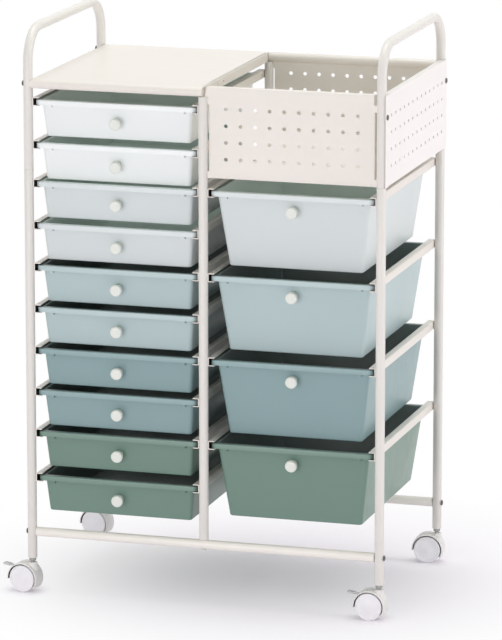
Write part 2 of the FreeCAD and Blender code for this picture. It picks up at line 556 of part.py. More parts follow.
def make_knob(label, column, level, kind):
    """Round knob on a drawer's front, and the screw that holds it from inside."""
    body = new_body(label, f"{column} * frame_width / 4", f"{RIM_MIDDLE} + {knob_seat(kind)}",
                    f"{LEVELS[level]} - {kind}_knob_drop", knob_turn(kind))
    neck = body.newObject("PartDesign::AdditiveCone", "Neck")
    place(neck, 0, 0, "seat_gap")
    bind(neck, {"Radius1": "neck_base_dia / 2", "Radius2": "neck_top_dia / 2", "Height": "knob_neck"})
    head = cylinder(body, "Head", "knob_dia", "knob_head", (0, 0, "seat_gap + knob_neck"))
    round_edges(body, head, "knob_round", lambda edge, whole: near(edge.ZLength, 0)
                and near(edge.XMax, whole.XMax))
    cylinder(body, "ScrewHole", "screw_dia + 2 * thread_play", "screw_bite + seat_gap", cut=True)
    cylinder(body, "ScrewShank", "screw_dia", "bin_wall + seat_gap + screw_bite",
             (0, 0, "-bin_wall - seat_gap"))
    cylinder(body, "ScrewHead", "screw_head_dia", "screw_head", (0, 0, "-bin_wall - seat_gap - screw_head"))


def caster_body(label, side, end, yaw):
    """A caster's sub-part, whose own origin is on the floor under the stem."""
    turn = Rotation(Vector(0, 0, 1), yaw)
    return new_body(label, f"{side} * {HALF_WIDTH}", f"{end} * {HALF_DEPTH}", 0, turn)


def make_caster_stems():
    """Stems of the casters: screwed into the posts, with a collar and the swivel pin below."""
    body = new_body("caster_stems")
    for name, side, end, yaw in CORNERS:
        at = (f"{side} * {HALF_WIDTH}", f"{end} * {HALF_DEPTH}")
        cylinder(body, "Stem", "stem_dia", "stem_length", (*at, POST_FOOT))
        cylinder(body, "Collar", "stem_collar_dia", "stem_collar", (*at, f"{POST_FOOT} - stem_collar"))
        cylinder(body, "Pin", "pin_dia", "pin_depth + stem_show - stem_collar",
                 (*at, f"{BOSS_TOP} - pin_depth"))


def make_caster_hood(name, side, end, yaw, braked):
    """Moulded caster body: hood over both wheels, web between them, boss for the stem."""
    body = caster_body(f"{name}_caster_hood", side, end, yaw)
    start = Rotation(Vector(1, 0, 0), 90) * Rotation(Vector(0, 0, 1), sheet.hood_start)
    hood = cylinder(body, "Hood", f"2 * ({HOOD_INSIDE} + hood_wall)", HOOD_WIDTH,
                    ("-caster_trail", f"{HOOD_WIDTH} / 2", WHEEL_RADIUS), turn=start)
    bind(hood, {"Angle": "hood_arc"})
    cylinder(body, "Boss", "boss_dia", "boss_length", (0, 0, f"{BOSS_TOP} - boss_length"))
    for wheel_side in (-1, 1):
        low = "web_width / 2" if wheel_side > 0 else "-web_width / 2 - wheel_width - 2 * wheel_gap"
        cylinder(body, "WheelRoom", f"2 * {HOOD_INSIDE}", "wheel_width + 2 * wheel_gap",
                 ("-caster_trail", low, WHEEL_RADIUS), "Y", cut=True)
    cylinder(body, "Hub", "hub_dia", "web_width", ("-caster_trail", "-web_width / 2", WHEEL_RADIUS), "Y")
    cylinder(body, "AxleBore", "axle_dia + 2 * axle_fit", "web_width",
             ("-caster_trail", "-web_width / 2", WHEEL_RADIUS), "Y", cut=True)
    cylinder(body, "PinBore", "pin_dia + 2 * pin_fit", "pin_depth + seat_gap",
             (0, 0, f"{BOSS_TOP} - pin_depth - seat_gap"), cut=True)
    if braked:
        room = "(lever_width + 2 * lever_play)"
        low = f"{WHEEL_RADIUS} + slot_floor"
        block(body, "LeverSlot", ("-caster_trail - wheel_dia", f"-{room} / 2", low),
              ("wheel_dia - hub_dia / 4", room, "wheel_dia"), cut=True)
        x, z = lever_pivot()
        cylinder(body, "LeverBore", "lever_pin_dia + 2 * axle_fit", "web_width",
                 (x, "-web_width / 2", z), "Y", cut=True)


def lever_pivot():
    """Brake lever's pivot in a caster's own coordinates."""
    radius = f"({WHEEL_RADIUS} - lever_inset)"
    return (f"{radius} * cos(lever_pivot_angle) - caster_trail",
            f"{WHEEL_RADIUS} + {radius} * sin(lever_pivot_angle)")


def make_caster_wheels(name, side, end, yaw):
    """Twin wheels of one caster and the axle that they turn on."""
    body = caster_body(f"{name}_caster_wheels", side, end, yaw)
    edge = "(web_width / 2 + wheel_gap)"
    starts = {1: edge, -1: f"-{edge} - wheel_width"}
    for wheel_side, low in starts.items():
        tip = cylinder(body, "Wheel", "wheel_dia", "wheel_width", ("-caster_trail", low, WHEEL_RADIUS), "Y")
    round_edges(body, tip, "wheel_round", lambda edge, whole: near(edge.YLength, 0)
                and near(edge.XLength, whole.XLength))
    bore = "wheel_width - axle_cover"
    for wheel_side, low in starts.items():
        inner = low if wheel_side > 0 else f"-{edge} - ({bore})"
        cylinder(body, "AxleSeat", "axle_dia + 2 * axle_fit", bore,
                 ("-caster_trail", inner, WHEEL_RADIUS), "Y", cut=True)
    half = f"({edge} + {bore} - axle_fit)"
    cylinder(body, "Axle", "axle_dia", f"2 * {half}", ("-caster_trail", f"-{half}", WHEEL_RADIUS), "Y")


def make_brake_lever(name, side, end, yaw):
    """Foot lever of a front caster: hub and pin in the web, arm through the hood, paddle outside."""
    body = caster_body(f"{name}_brake_lever", side, end, yaw)
    x, z = lever_pivot()
    cylinder(body, "LeverHub", "lever_hub_dia", "lever_width", (x, "-lever_width / 2", z), "Y")
    tilt = Rotation(Vector(0, 1, 0), 180 + sheet.lever_slope)
    reach = "(paddle_start + paddle_length)"
    rise = ("sin(lever_slope) * lever_wall / 2", "cos(lever_slope) * lever_wall / 2")
    corner = (f"{x} + {rise[0]}", f"{z} + {rise[1]}")
    block(body, "Arm", (corner[0], "-lever_width / 2", corner[1]),
          (reach, "lever_width", "lever_wall"), turn=tilt)
    paddle_x = f"{corner[0]} - paddle_start * cos(lever_slope)"
    paddle_z = f"{corner[1]} + paddle_start * sin(lever_slope)"
    block(body, "Paddle", (paddle_x, "-paddle_width / 2", paddle_z),
          ("paddle_length", "paddle_width", "lever_wall"), turn=tilt)
    pin = "(web_width - 2 * lever_pin_short)"
    cylinder(body, "Pin", "lever_pin_dia", pin, (x, f"-{pin} / 2", z), "Y")


for corner, side, end, yaw in CORNERS:
    make_corner_post(corner, side, end)
    make_caster_hood(corner, side, end, yaw, end < 0)
    make_caster_wheels(corner, side, end, yaw)
    if end < 0:
        make_brake_lever(corner, side, end, yaw)
make_caster_stems()
for name, side in (("left", -1), ("right", 1)):
    make_handle(name, side)
for name, end in (("front", -1), ("back", 1)):
    make_bottom_rail(name, end)
    make_mid_post(name, end)
make_runners("left_runners", f"-{HALF_WIDTH}", 1, range(SMALL_COUNT))
make_runners("mid_left_runners", "0", -1, range(SMALL_COUNT))
make_runners("mid_right_runners", "0", 1, LARGE_LEVELS)
make_runners("right_runners", HALF_WIDTH, -1, LARGE_LEVELS)
make_top_shelf()
make_top_back_rail()
make_basket_wall("basket_front_panel", -1, PANEL_HEIGHT, True)
make_basket_wall("basket_back_panel", 1, f"({MID_TOP} - {PANEL_BOTTOM})", False)
make_side_panel()
make_basket_floor()
make_frame_bolts()
for n in range(SMALL_COUNT):
    make_drawer(f"small_drawer_{n + 1:02d}", -1, n, "small")
    make_knob(f"small_knob_{n + 1:02d}", -1, n, "small")
for n, level in enumerate(LARGE_LEVELS):
    make_drawer(f"large_drawer_{n + 1}", 1, level, "large")
    make_knob(f"large_knob_{n + 1}", 1, level, "large")

doc.recompute()
for item in doc.Objects:
    if {"Invalid", "Error"} & set(item.State):
        raise RuntimeError(f"{item.Name} ({item.Label}) failed: {item.State}")
for body in nodes:
    if body.Shape.isNull() or not body.Shape.isValid() or not body.Shape.Solids:
        raise RuntimeError(f"{body.Label} has no valid solid")
os.makedirs("parts", exist_ok=True)
for body in nodes:
    body.Shape.exportStep(f"parts/{body.Label}.step")
print(len(nodes), "sub-parts written")
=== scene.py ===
"""Looks of a rolling drawer cart, built around its packed CAD frame."""

import json
import math

import bmesh
import bpy
from bpy.props import FloatProperty, FloatVectorProperty, PointerProperty
from mathutils import Matrix, Vector


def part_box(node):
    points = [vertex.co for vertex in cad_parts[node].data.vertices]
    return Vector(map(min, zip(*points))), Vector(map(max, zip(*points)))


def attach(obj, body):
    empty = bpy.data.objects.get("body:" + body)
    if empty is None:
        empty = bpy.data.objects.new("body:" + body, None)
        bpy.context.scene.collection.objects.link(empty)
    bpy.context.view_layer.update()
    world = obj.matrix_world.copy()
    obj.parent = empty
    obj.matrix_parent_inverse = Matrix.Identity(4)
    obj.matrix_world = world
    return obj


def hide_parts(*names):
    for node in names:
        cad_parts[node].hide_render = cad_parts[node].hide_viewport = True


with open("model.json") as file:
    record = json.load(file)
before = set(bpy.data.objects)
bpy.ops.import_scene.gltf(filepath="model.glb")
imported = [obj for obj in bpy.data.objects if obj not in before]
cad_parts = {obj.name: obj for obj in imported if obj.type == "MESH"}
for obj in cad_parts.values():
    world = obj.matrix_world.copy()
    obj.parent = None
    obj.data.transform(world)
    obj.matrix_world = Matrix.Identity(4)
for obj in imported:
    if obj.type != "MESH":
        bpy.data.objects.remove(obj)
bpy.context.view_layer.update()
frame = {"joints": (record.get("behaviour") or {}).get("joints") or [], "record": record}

bl_info = {
    "name": "Rolling Drawer Cart",
    "version": (1, 0, 0),
    "blender": (4, 5, 0),
    "location": "View3D > Sidebar > Cart",
    "description": "Builds the looks of a rolling drawer cart around its frame",
    "category": "Add Mesh",
}

MM = 0.001
X, Y, Z = range(3)
RIGHT, BACK, UP = Vector((1, 0, 0)), Vector((0, 1, 0)), Vector((0, 0, 1))
TUBE_STEPS = 40
BEND_STEPS = 14
TURN_STEPS = 40
FOLD_STEPS = 5
CORNER_STEPS = 8
ROUND_STEPS = 4
EDGE_STEPS = 2
LEVER_STEPS = 3
COPE_RINGS = 4
HOLE_CUTS = 3
MERGE = 1e-6
SHARP = math.radians(32)
ROLL_TURN = 1.6 * math.pi
EAR_SLOPE = 0.25
NOISE_LOW, NOISE_HIGH = 0.3, 0.7
MOTTLE_SCALE, GLOSS_SCALE = 7, 45
DULL_ZINC = 0.3
# Roughness range, spread of the colour, scale and height in metres of the grain.
FINISHES = {
    "paint": ((0.36, 0.42), 0.008, 500, 0.000006),
    "drawer": ((0.3, 0.36), 0.008, 900, 0.000002),
    "lining": ((0.3, 0.36), 0.02, 900, 0.000002),
    "runner": ((0.4, 0.5), 0.05, 900, 0.000002),
    "knob": ((0.28, 0.34), 0.008, 900, 0.000002),
    "zinc": ((0.3, 0.42), 0.05, 2000, 0.000004),
    "nylon": ((0.36, 0.44), 0.01, 1100, 0.000004),
}

BODY_OF = {
    node: body
    for body, nodes in frame["record"]["behaviour"]["bodies"].items()
    for node in nodes
}
JOINTS = {joint["name"]: joint for joint in frame["joints"]}
CORNERS = ("front_left", "front_right", "back_left", "back_right")
BRAKED = ("front_left", "front_right")
SMALL_DRAWERS = [f"small_drawer_{number:02d}" for number in range(1, 11)]
LARGE_DRAWERS = [f"large_drawer_{number}" for number in range(1, 5)]
TINTS = ("white", "mist", "sky", "teal", "sage")
PALE_TINTS = TINTS[:2]
# Strength of the painted glow on the insides of the white and mist drawers; it stands in for light
# inside them.
PALE_PAINTED_GLOW = 0.03
# Place and size of each lamp, in metres.
LAMPS = {
    "top": ((-0.2, 0.3, 3.5), 1.4),
    "front": ((-0.6, -3.5, 0.4), 2.0),
    "side": ((3.2, 0.1, 1.4), 1.8),
}
FLOOR_RADIUS, FLOOR_STEPS = 30, 64
FLOOR_ROUGHNESS, FLOOR_GLOSS = 0.9, 0.1
SHADE_MIDDLE, SHADE_REACH = (0.1, 0.05, 0), 0.68
CONTACT_REACH = 2.2
SENSOR_MM = 36
FAR_CLIP = 100


def tint_of(drawer):
    """Plastic tint of a drawer: small drawers go in pairs, large ones start one tint later."""
    number = int(drawer.rsplit("_", 1)[1])
    return TINTS[number] if drawer in LARGE_DRAWERS else TINTS[(number - 1) // 2]


def span(node, axis):
    """Lowest and highest value of a node along one axis."""
    low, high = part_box(node)
    return low[axis], high[axis]


def middle(node):
    """Middle of a node's box."""
    low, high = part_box(node)
    return (low + high) / 2


TUBE_RADIUS = (span("mid_front_post", X)[1] - span("mid_front_post", X)[0]) / 2
LEFT_X, MID_X, RIGHT_X = (
    middle(f"{place}_post").x for place in ("front_left", "mid_front", "front_right")
)
FRONT_Y, BACK_Y = middle("mid_front_post").y, middle("mid_back_post").y
FOOT_Z, SPLIT_Z = span("front_left_post", Z)
RAIL_Z = middle("bottom_front_rail").z
MID_TOP = span("mid_front_post", Z)[1]
SHELF_TOP = span("top_shelf", Z)[1]
ROLL_Z = SHELF_TOP - TUBE_RADIUS
BAR_Z = span("left_handle", Z)[1] - TUBE_RADIUS
LAMP_AIM = Vector((MID_X, 0, RAIL_Z * 4))


def length(name, description, millimetres):
    """Length property with its default in millimetres."""
    return FloatProperty(name=name, description=description, default=millimetres * MM, min=0,
                         precision=4, unit="LENGTH")


def angle(name, description, degrees):
    """Angle property with its default in degrees."""
    return FloatProperty(name=name, description=description, default=math.radians(degrees),
                         subtype="ANGLE")


def amount(name, description, value):
    """Plain number property with its default."""
    return FloatProperty(name=name, description=description, default=value, min=0)


def linear(display):
    """Linear value of a display value from 0 to 255."""
    share = display / 255
    return share / 12.92 if share <= 0.04045 else ((share + 0.055) / 1.055) ** 2.4


def colour(name, description, *display):
    """Colour property with its default as display values from 0 to 255."""
    return FloatVectorProperty(name=name, description=description, subtype="COLOR", size=3, min=0,
                               max=1, default=[linear(value) for value in display])


class CartSizes(bpy.types.PropertyGroup):
    """Sizes of the cart's visible details."""

    seam: length("Tube seam", "Gap that shows where tubes meet", 0.15)
    tube_edge: length("Tube edge", "Rounding of a tube's cut end", 0.35)
    handle_bend: length("Handle bend", "Bend radius of the handles, on the tube's axis", 56)
    sheet: length("Sheet", "Thickness of shelf and basket sheet", 1.2)
    sheet_bend: length("Sheet bend", "Outside radius of the sheet's folds", 2.2)
    panel_fold: length("Panel fold", "Depth of the basket's folds", 10)
    panel_slit: length("Panel slit", "Gap between the front and back panels and the right posts", 3)
    panel_tab: length("Panel tab", "Height of the tabs beside the posts", 12)
    hole: length("Basket hole", "Diameter of the basket's holes", 6.6)
    hole_inset: length("Hole inset", "First hole from a panel's side edge", 30)
    hole_inset_side: length("Side hole inset", "First hole from the side panel's edge", 33)
    hole_first: length("First hole row", "Lowest holes above the panels' lower edge", 33)
    hole_last: length("Last hole row", "Highest holes below the panels' upper edge", 37)
    lip_hole: length("Lip hole", "Diameter of the holes in the shelf's right fold", 4)
    lip_hole_front: length("Lip hole place", "First lip hole from the front roll", 85)
    lip_hole_step: length("Lip hole step", "Distance between the lip holes", 33)
    shelf_lip: length("Shelf lip", "Fold at the shelf's left edge", 12)
    runner_wall: length("Runner wall", "Sheet of the drawer runners", 1.5)
    runner_bend: length("Runner bend", "Outside radius of a runner's folds", 2)
    bolt_head: length("Bolt head", "Diameter of a bolt's head", 9.5)
    bolt_height: length("Bolt height", "Height of a bolt's head", 2.4)


class DrawerSizes(bpy.types.PropertyGroup):
    """Sizes of the moulded drawers and their knobs."""

    lip: length("Lip", "Height of the turned down rim", 8.8)
    rim_wall: length("Rim wall", "Wall of the rim", 2)
    rim_corner: length("Rim corner", "Corner radius of the rim", 9)
    rim_edge: length("Rim edge", "Rounding of the rim's outer edge", 1.8)
    mouth_edge: length("Mouth edge", "Rounding of the rim's inner edge", 1.2)
    ledge_side: length("Side ledge", "Rim past the body at the sides", 8.8)
    ledge_end: length("End ledge", "Rim past the body at front and back", 8)
    corner: length("Corner", "Corner radius of the body", 6.5)
    nub_inset: length("Nub inset", "Rib below the front lip, from the rim's side", 22)
    nub_width: length("Nub width", "Width of a rib below the front lip", 7)
    nub_drop: length("Nub drop", "Rib past the lip's lower edge", 4.5)
    nub_back: length("Nub set-back", "Rib behind the lip", 1)
    wall: length("Wall", "Wall of a drawer", 2)
    foot: length("Foot", "Rounding between the walls and the floor", 2.4)
    small_draft: angle("Small draft", "Slope of a small drawer's walls", 5.5)
    large_draft: angle("Large draft", "Slope of a large drawer's walls", 7.5)
    small_knob_drop: length("Small knob drop", "Knob below the rim of a small drawer", 34)
    large_knob_drop: length("Large knob drop", "Knob below the rim of a large drawer", 28)
    knob: length("Knob", "Diameter of a knob's head", 20.5)
    knob_head: length("Knob head", "Length of a knob's head", 8)
    knob_neck: length("Knob neck", "Length of a knob's neck", 10)
    knob_round: length("Knob rounding", "Rounding of a knob's head", 3)
    neck_base: length("Neck base", "Diameter of a knob's neck at the drawer", 14)
    neck_top: length("Neck top", "Diameter of a knob's neck at its head", 10)
    screw_head: length("Screw head", "Diameter of a knob's screw", 8)
    screw_height: length("Screw height", "Height of a knob screw's head", 2.2)


class CasterSizes(bpy.types.PropertyGroup):
    """Sizes of the casters."""

    wheel_width: length("Wheel width", "Width of one wheel", 10)
    wheel_round: length("Wheel rounding", "Rounding of a wheel's edges", 2.5)
    wheel_gap: length("Wheel gap", "Gap between wheel and web", 0.5)
    web: length("Web", "Width of the web between the wheels", 9)
    hub: length("Hub", "Diameter of the web's hub", 16)
    axle: length("Axle", "Diameter of the axle", 6)
    hood_gap: length("Hood gap", "Gap between wheel and hood", 1.8)
    hood_wall: length("Hood wall", "Wall of the hood", 2)
    hood_round: length("Hood rounding", "Rounding of the hood's outer edges", 1.4)
    hood_arc: angle("Hood arc", "Arc of the hood round the wheels", 220)
    hood_start: angle("Hood start", "Lower end of the hood on the stem's side, from level", -35)
    boss: length("Boss", "Diameter of the hood's boss round the stem", 16)
    boss_flare: length("Boss flare", "Widening of the boss towards the hood", 3)
    boss_rise: length("Boss rise", "Top of the boss above the hood", 1.2)
    boss_length: length("Boss length", "Height of the boss", 14)
    collar: length("Collar", "Diameter of the stem's collar", 12)
    collar_height: length("Collar height", "Height of the stem's collar", 5)
    pin: length("Pin", "Diameter of the swivel pin", 6)
    lever_width: length("Lever width", "Width of the brake lever's arm", 5)
    lever_wall: length("Lever wall", "Thickness of the brake lever", 3.4)
    lever_hub: length("Lever hub", "Diameter of the lever's hub", 8)
    lever_play: length("Lever play", "Gap beside the lever's arm", 0.4)
    lever_slope: angle("Lever slope", "Rise of the lever away from the web", 7)
    slot_floor: length("Slot floor", "Lever slot above the axle", 5)
    paddle_start: length("Paddle start", "Paddle from the lever's pivot", 15)
    paddle_length: length("Paddle length", "Length of the paddle", 13.5)
    paddle_width: length("Paddle width", "Width of the paddle", 12)


class CartColours(bpy.types.PropertyGroup):
    """Colours of the cart's finishes."""

    sheet_paint: colour("Sheet paint", "Satin paint of shelf, basket and runners", 235, 230, 221)
    # Painted light: whiter than the sheet paint, to stand in for the light on the side panel that
    # faces the side lamp.
    side_paint: colour("Side paint", "Satin paint of the basket's side panel", 248, 244, 240)
    # Painted light: lighter than the tube paint of the same steel, to stand in for light on the low
    # bottom rails.
    rail_paint: colour("Rail paint", "Satin paint of the bottom rails", 247, 243, 234)
    # Partly a coat of its own and partly painted shade: a little darker than the sheet paint, to
    # stand in for the shading of the round tubes.
    tube_paint: colour("Tube paint", "Satin paint of the frame's tubes", 231, 228, 221)
    drawer_white: colour("White drawer", "First tint of the drawers", 240, 245, 243)
    drawer_mist: colour("Mist drawer", "Second tint of the drawers", 216, 224, 223)
    drawer_sky: colour("Sky drawer", "Third tint of the drawers", 181, 200, 200)
    drawer_teal: colour("Teal drawer", "Fourth tint of the drawers", 139, 166, 167)
    drawer_sage: colour("Sage drawer", "Fifth tint of the drawers", 114, 142, 129)
    # Painted light and shade for the drawers' insides: pale_inside, with its painted glow, stands
    # in for light inside the white and mist drawers; deep_inside, darker than the sky and teal
    # plastics, stands in for the shade inside the other drawers.
    pale_inside: colour("Pale inside", "Inner walls of the white and mist drawers", 230, 243, 236)
    deep_inside: colour("Deep inside", "Inner walls of the other drawers", 124, 140, 136)
    # Painted shade: a dark colour on the runners' inner faces that stands in for the shade inside
    # the channels.
    liner: colour("Runner lining", "Slide lining inside the runners", 46, 48, 48)
    knob: colour("Knob", "Plastic of the knobs", 231, 235, 226)
    hood: colour("Caster hood", "Plastic of the caster hoods", 236, 234, 230)
    # Painted shade: a dark colour on the hood's inner face that stands in for the shade in the gap
    # round the wheels.
    hood_inside: colour("Hood inside", "Inner face of the caster hoods", 70, 70, 72)
    wheel: colour("Wheel", "Plastic of the wheels", 246, 245, 247)
    lever: colour("Brake lever", "Plastic of the brake levers", 204, 205, 204)
    bolt: colour("Bolt", "Steel of bolts and screws", 104, 102, 99)
    stem: colour("Stem", "Steel of the caster stems", 165, 165, 163)
    floor: colour("Floor", "Studio floor", 250, 243, 252)


def material_nodes(name):
    """New node material and its shader."""
    material = bpy.data.materials.new(name)
    material.use_nodes = True
    return material, material.node_tree, material.node_tree.nodes["Principled BSDF"]


def add_node(tree, kind, inputs, output=0, **settings):
    """New shader node with its settings, and with its inputs set or linked. Returns one output."""
    node = tree.nodes.new(f"ShaderNode{kind}")
    for name, value in settings.items():
        setattr(node, name, value)
    for name, value in inputs.items():
        if isinstance(value, bpy.types.NodeSocket):
            tree.links.new(value, node.inputs[name])
        else:
            node.inputs[name].default_value = value
    return node.outputs[output]


def noise(tree, scale, detail):
    """Noise on Object coordinates, as a value from 0 to 1."""
    place = add_node(tree, "TexCoord", {}, "Object")
    return add_node(tree, "TexNoise", {"Vector": place, "Scale": scale, "Detail": detail}, "Fac")


def ranged(tree, value, low, high):
    """Noise spread from low to high."""
    limits = {"From Min": NOISE_LOW, "From Max": NOISE_HIGH, "To Min": low, "To Max": high}
    return add_node(tree, "MapRange", {"Value": value, **limits}, "Result")


def mottled(tree, value, base, spread):
    """Base colour that wanders a little to both sides."""
    ramp = tree.nodes.new("ShaderNodeValToRGB")
    stops = ((NOISE_LOW, 1 - spread), (NOISE_HIGH, 1 + spread))
    for element, (place, share) in zip(ramp.color_ramp.elements, stops):
        element.position = place
        element.color = [min(channel * share, 1) for channel in base] + [1]
    tree.links.new(value, ramp.inputs["Fac"])
    return ramp.outputs["Color"]


def grain(tree, value, height):
    """Fine relief of a surface, with its height in metres."""
    return add_node(tree, "Bump", {"Strength": 1, "Distance": height, "Height": value}, "Normal")


def finish_material(finish, name, base, metal=0):
    """Finish with wandering colour, uneven gloss and a fine grain."""
    rough, spread, grain_scale, grain_height = FINISHES[finish]
    material, tree, shader = material_nodes(name)
    shader.inputs["Metallic"].default_value = metal
    links = {
        "Base Color": mottled(tree, noise(tree, MOTTLE_SCALE, 2), base, spread),
        "Roughness": ranged(tree, noise(tree, GLOSS_SCALE, 3), *rough),
        "Normal": grain(tree, noise(tree, grain_scale, 2), grain_height),
    }
    for socket, output in links.items():
        tree.links.new(output, shader.inputs[socket])
    return material


def drawer_painted_inside_shading(colours, shade):
    """Satin face of a drawer's inner walls, in painted shade for the deep tints and with a painted
    glow for the pale tints.
    """
    base = getattr(colours, f"{shade}_inside")
    material = finish_material("lining", f"drawer_lining_{shade}", base)
    shader = material.node_tree.nodes["Principled BSDF"]
    # Painted glow: the pale insides give off a little light of their own.
    shader.inputs["Emission Color"].default_value = (*base, 1)
    shader.inputs["Emission Strength"].default_value = PALE_PAINTED_GLOW * (shade == "pale")
    return material


def shared(name, make):
    """Material of that name, made when it is first asked for."""
    return bpy.data.materials.get(name) or make()


def paint(context, part="sheet"):
    """Paint of the frame's sheets, tubes, rails or side panel; the rail and side paints carry
    painted light, and the tube paint a little painted shade.
    """
    name = f"{part}_paint"
    base = getattr(context.scene.cart_colours, name)
    return shared(name, lambda: finish_material("paint", name, base))


def add_piece(bm, node, slot, *materials):
    """Turns a bmesh into the piece that stands for a CAD node."""
    bmesh.ops.recalc_face_normals(bm, faces=bm.faces[:])
    for face in bm.faces:
        face.smooth = True
    for edge in bm.edges:
        edge.smooth = edge.calc_face_angle(math.pi) < SHARP
    mesh = bpy.data.meshes.new(f"{node}_piece")
    bm.to_mesh(mesh)
    bm.free()
    for material in materials:
        mesh.materials.append(material)
    piece = bpy.data.objects.new(f"{node}_piece", mesh)
    bpy.context.scene.collection.objects.link(piece)
    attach(piece, BODY_OF[node])
    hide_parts(node)


def parts_of(geometry, kind):
    """Vertices, edges or faces among an operator's results."""
    return [part for part in geometry if isinstance(part, kind)]


def fresh(parts, old):
    """Parts of a mesh that were not there before."""
    return [part for part in parts if part not in old]


def corners_of(edges):
    """Vertices of some edges."""
    return list({vert for edge in edges for vert in edge.verts})


def axis_place(at, direction, axis="Z"):
    """Matrix that puts an own axis on a direction, from a point."""
    return Matrix.Translation(at) @ direction.to_track_quat(axis, "Y").to_matrix().to_4x4()


def arc(centre, radius, start, end):
    """Points of an arc in a profile's own plane, from one angle to another in degrees."""
    turns = [math.radians(start + (end - start) * step / ROUND_STEPS)
             for step in range(ROUND_STEPS + 1)]
    return [(centre[0] + radius * math.cos(turn), centre[1] + radius * math.sin(turn))
            for turn in turns]


def ring(bm, at, axis):
    """Outline of a frame tube round a point, square to an axis."""
    made = bmesh.ops.create_circle(bm, segments=TUBE_STEPS, radius=TUBE_RADIUS,
                                   matrix=axis_place(at, axis))
    return list({edge for vert in made["verts"] for edge in vert.link_edges})


def pull(bm, edges, offset):
    """Extrudes edges along an offset and returns their far copies."""
    made = bmesh.ops.extrude_edge_only(bm, edges=edges)["geom"]
    bmesh.ops.translate(bm, verts=parts_of(made, bmesh.types.BMVert), vec=offset)
    return parts_of(made, bmesh.types.BMEdge)


def bend(bm, edges, centre, axis, turn, steps):
    """Sweeps edges round an axis and returns their far copies."""
    made = bmesh.ops.spin(bm, geom=corners_of(edges) + edges, cent=centre, axis=axis, angle=turn,
                          steps=steps, use_duplicate=False)
    return parts_of(made["geom_last"], bmesh.types.BMEdge)


def round_off(bm, parts, offset, segments, affect="EDGES"):
    """Rounds edges or corners off."""
    bmesh.ops.bevel(bm, geom=parts, offset=offset, offset_type="OFFSET", affect=affect,
                    segments=segments, profile=0.5, material=-1)


def close_end(bm, edges, rounding):
    """Closes a tube's end and rounds its edge."""
    bmesh.ops.edgeloop_fill(bm, edges=edges)
    round_off(bm, edges, rounding, EDGE_STEPS)


def straight_tube(foot, offset, roundings):
    """Straight frame tube from its foot, with the roundings of its two ends."""
    bm = bmesh.new()
    start = ring(bm, foot, offset)
    for edges, rounding in zip((start, pull(bm, start, offset)), roundings):
        close_end(bm, edges, rounding)
    return bm


def cope_end(bm, edges, along, post, reach):
    """Closes a tube's end in the shape of the round tube it meets, whose axis crosses at post."""
    ends = set(corners_of(edges))
    old = set(bm.verts)
    face = bmesh.ops.edgeloop_fill(bm, edges=edges)["faces"][0]
    for _ in range(COPE_RINGS):
        bmesh.ops.inset_region(bm, faces=[face], thickness=TUBE_RADIUS / (COPE_RINGS + 1))
    ends.update(fresh(bm.verts, old))
    for vert in ends:
        off = vert.co.y - post.y
        depth = math.sqrt(max(reach ** 2 - off ** 2, 0))
        vert.co[along] = post[along] + math.copysign(depth, reach)


def lathe(bm, profile, place):
    """Turns a profile of (radius, height) points round Z and puts the result in place."""
    old = set(bm.verts)
    points = [bm.verts.new((radius, 0, height)) for radius, height in profile]
    edges = [bm.edges.new(pair) for pair in zip(points, points[1:])]
    bmesh.ops.spin(bm, geom=points + edges, cent=(0, 0, 0), axis=UP, angle=2 * math.pi,
                   steps=TURN_STEPS, use_merge=True, use_duplicate=False)
    bmesh.ops.remove_doubles(bm, verts=fresh(bm.verts, old), dist=MERGE)
    bmesh.ops.transform(bm, matrix=place, verts=fresh(bm.verts, old))


def cylinder(radius, low, high):
    """Profile of a plain cylinder for the lathe."""
    return [(0, low), (radius, low), (radius, high), (0, high)]


def thicken(bm, faces, thickness, outward):
    """Gives sheet faces a thickness behind the side that looks outward."""
    bm.normal_update()
    guide = max(faces, key=lambda face: abs(face.normal.dot(outward)) * face.calc_area())
    if guide.normal.dot(outward) < 0:
        bmesh.ops.reverse_faces(bm, faces=faces)
    bmesh.ops.solidify(bm, geom=faces, thickness=thickness)


class CART_OT_handles(bpy.types.Operator):
    """Build the two bent end handles"""

    bl_idname = "cart.handles"
    bl_label = "Handles"

    def execute(self, context):
        sizes = context.scene.cart_sizes
        for name, x in (("left_handle", LEFT_X), ("right_handle", RIGHT_X)):
            bm = bmesh.new()
            radius = sizes.handle_bend
            foot = SPLIT_Z + sizes.seam / 2
            leg = UP * (BAR_Z - radius - foot)
            start = ring(bm, Vector((x, FRONT_Y, foot)), UP)
            bar = BACK * (BACK_Y - FRONT_Y - 2 * radius)
            run = pull(bm, start, leg)
            for y, straight in ((FRONT_Y + radius, bar), (BACK_Y - radius, -leg)):
                centre = x, y, BAR_Z - radius
                run = bend(bm, run, centre, RIGHT, -math.pi / 2, BEND_STEPS)
                run = pull(bm, run, straight)
            for edges in (start, run):
                close_end(bm, edges, sizes.tube_edge)
            # The handles take the tube paint, which carries a little painted shade.
            add_piece(bm, name, "frame_paint", paint(context, "tube"))
        return {"FINISHED"}


class CART_OT_posts(bpy.types.Operator):
    """Build the four corner posts and the two middle posts"""

    bl_idname = "cart.posts"
    bl_label = "Posts"

    def execute(self, context):
        sizes = context.scene.cart_sizes
        roundings = 2 * sizes.tube_edge, sizes.tube_edge
        mid_foot = RAIL_Z + TUBE_RADIUS + sizes.seam
        heights = {f"{corner}_post": (FOOT_Z, SPLIT_Z - sizes.seam / 2) for corner in CORNERS}
        heights |= {f"mid_{end}_post": (mid_foot, MID_TOP) for end in ("front", "back")}
        for node, (foot, top) in heights.items():
            at = middle(node)
            at.z = foot
            bm = straight_tube(at, UP * (top - foot), roundings)
            # The posts take the tube paint, which carries a little painted shade.
            add_piece(bm, node, "frame_paint", paint(context, "tube"))
        return {"FINISHED"}


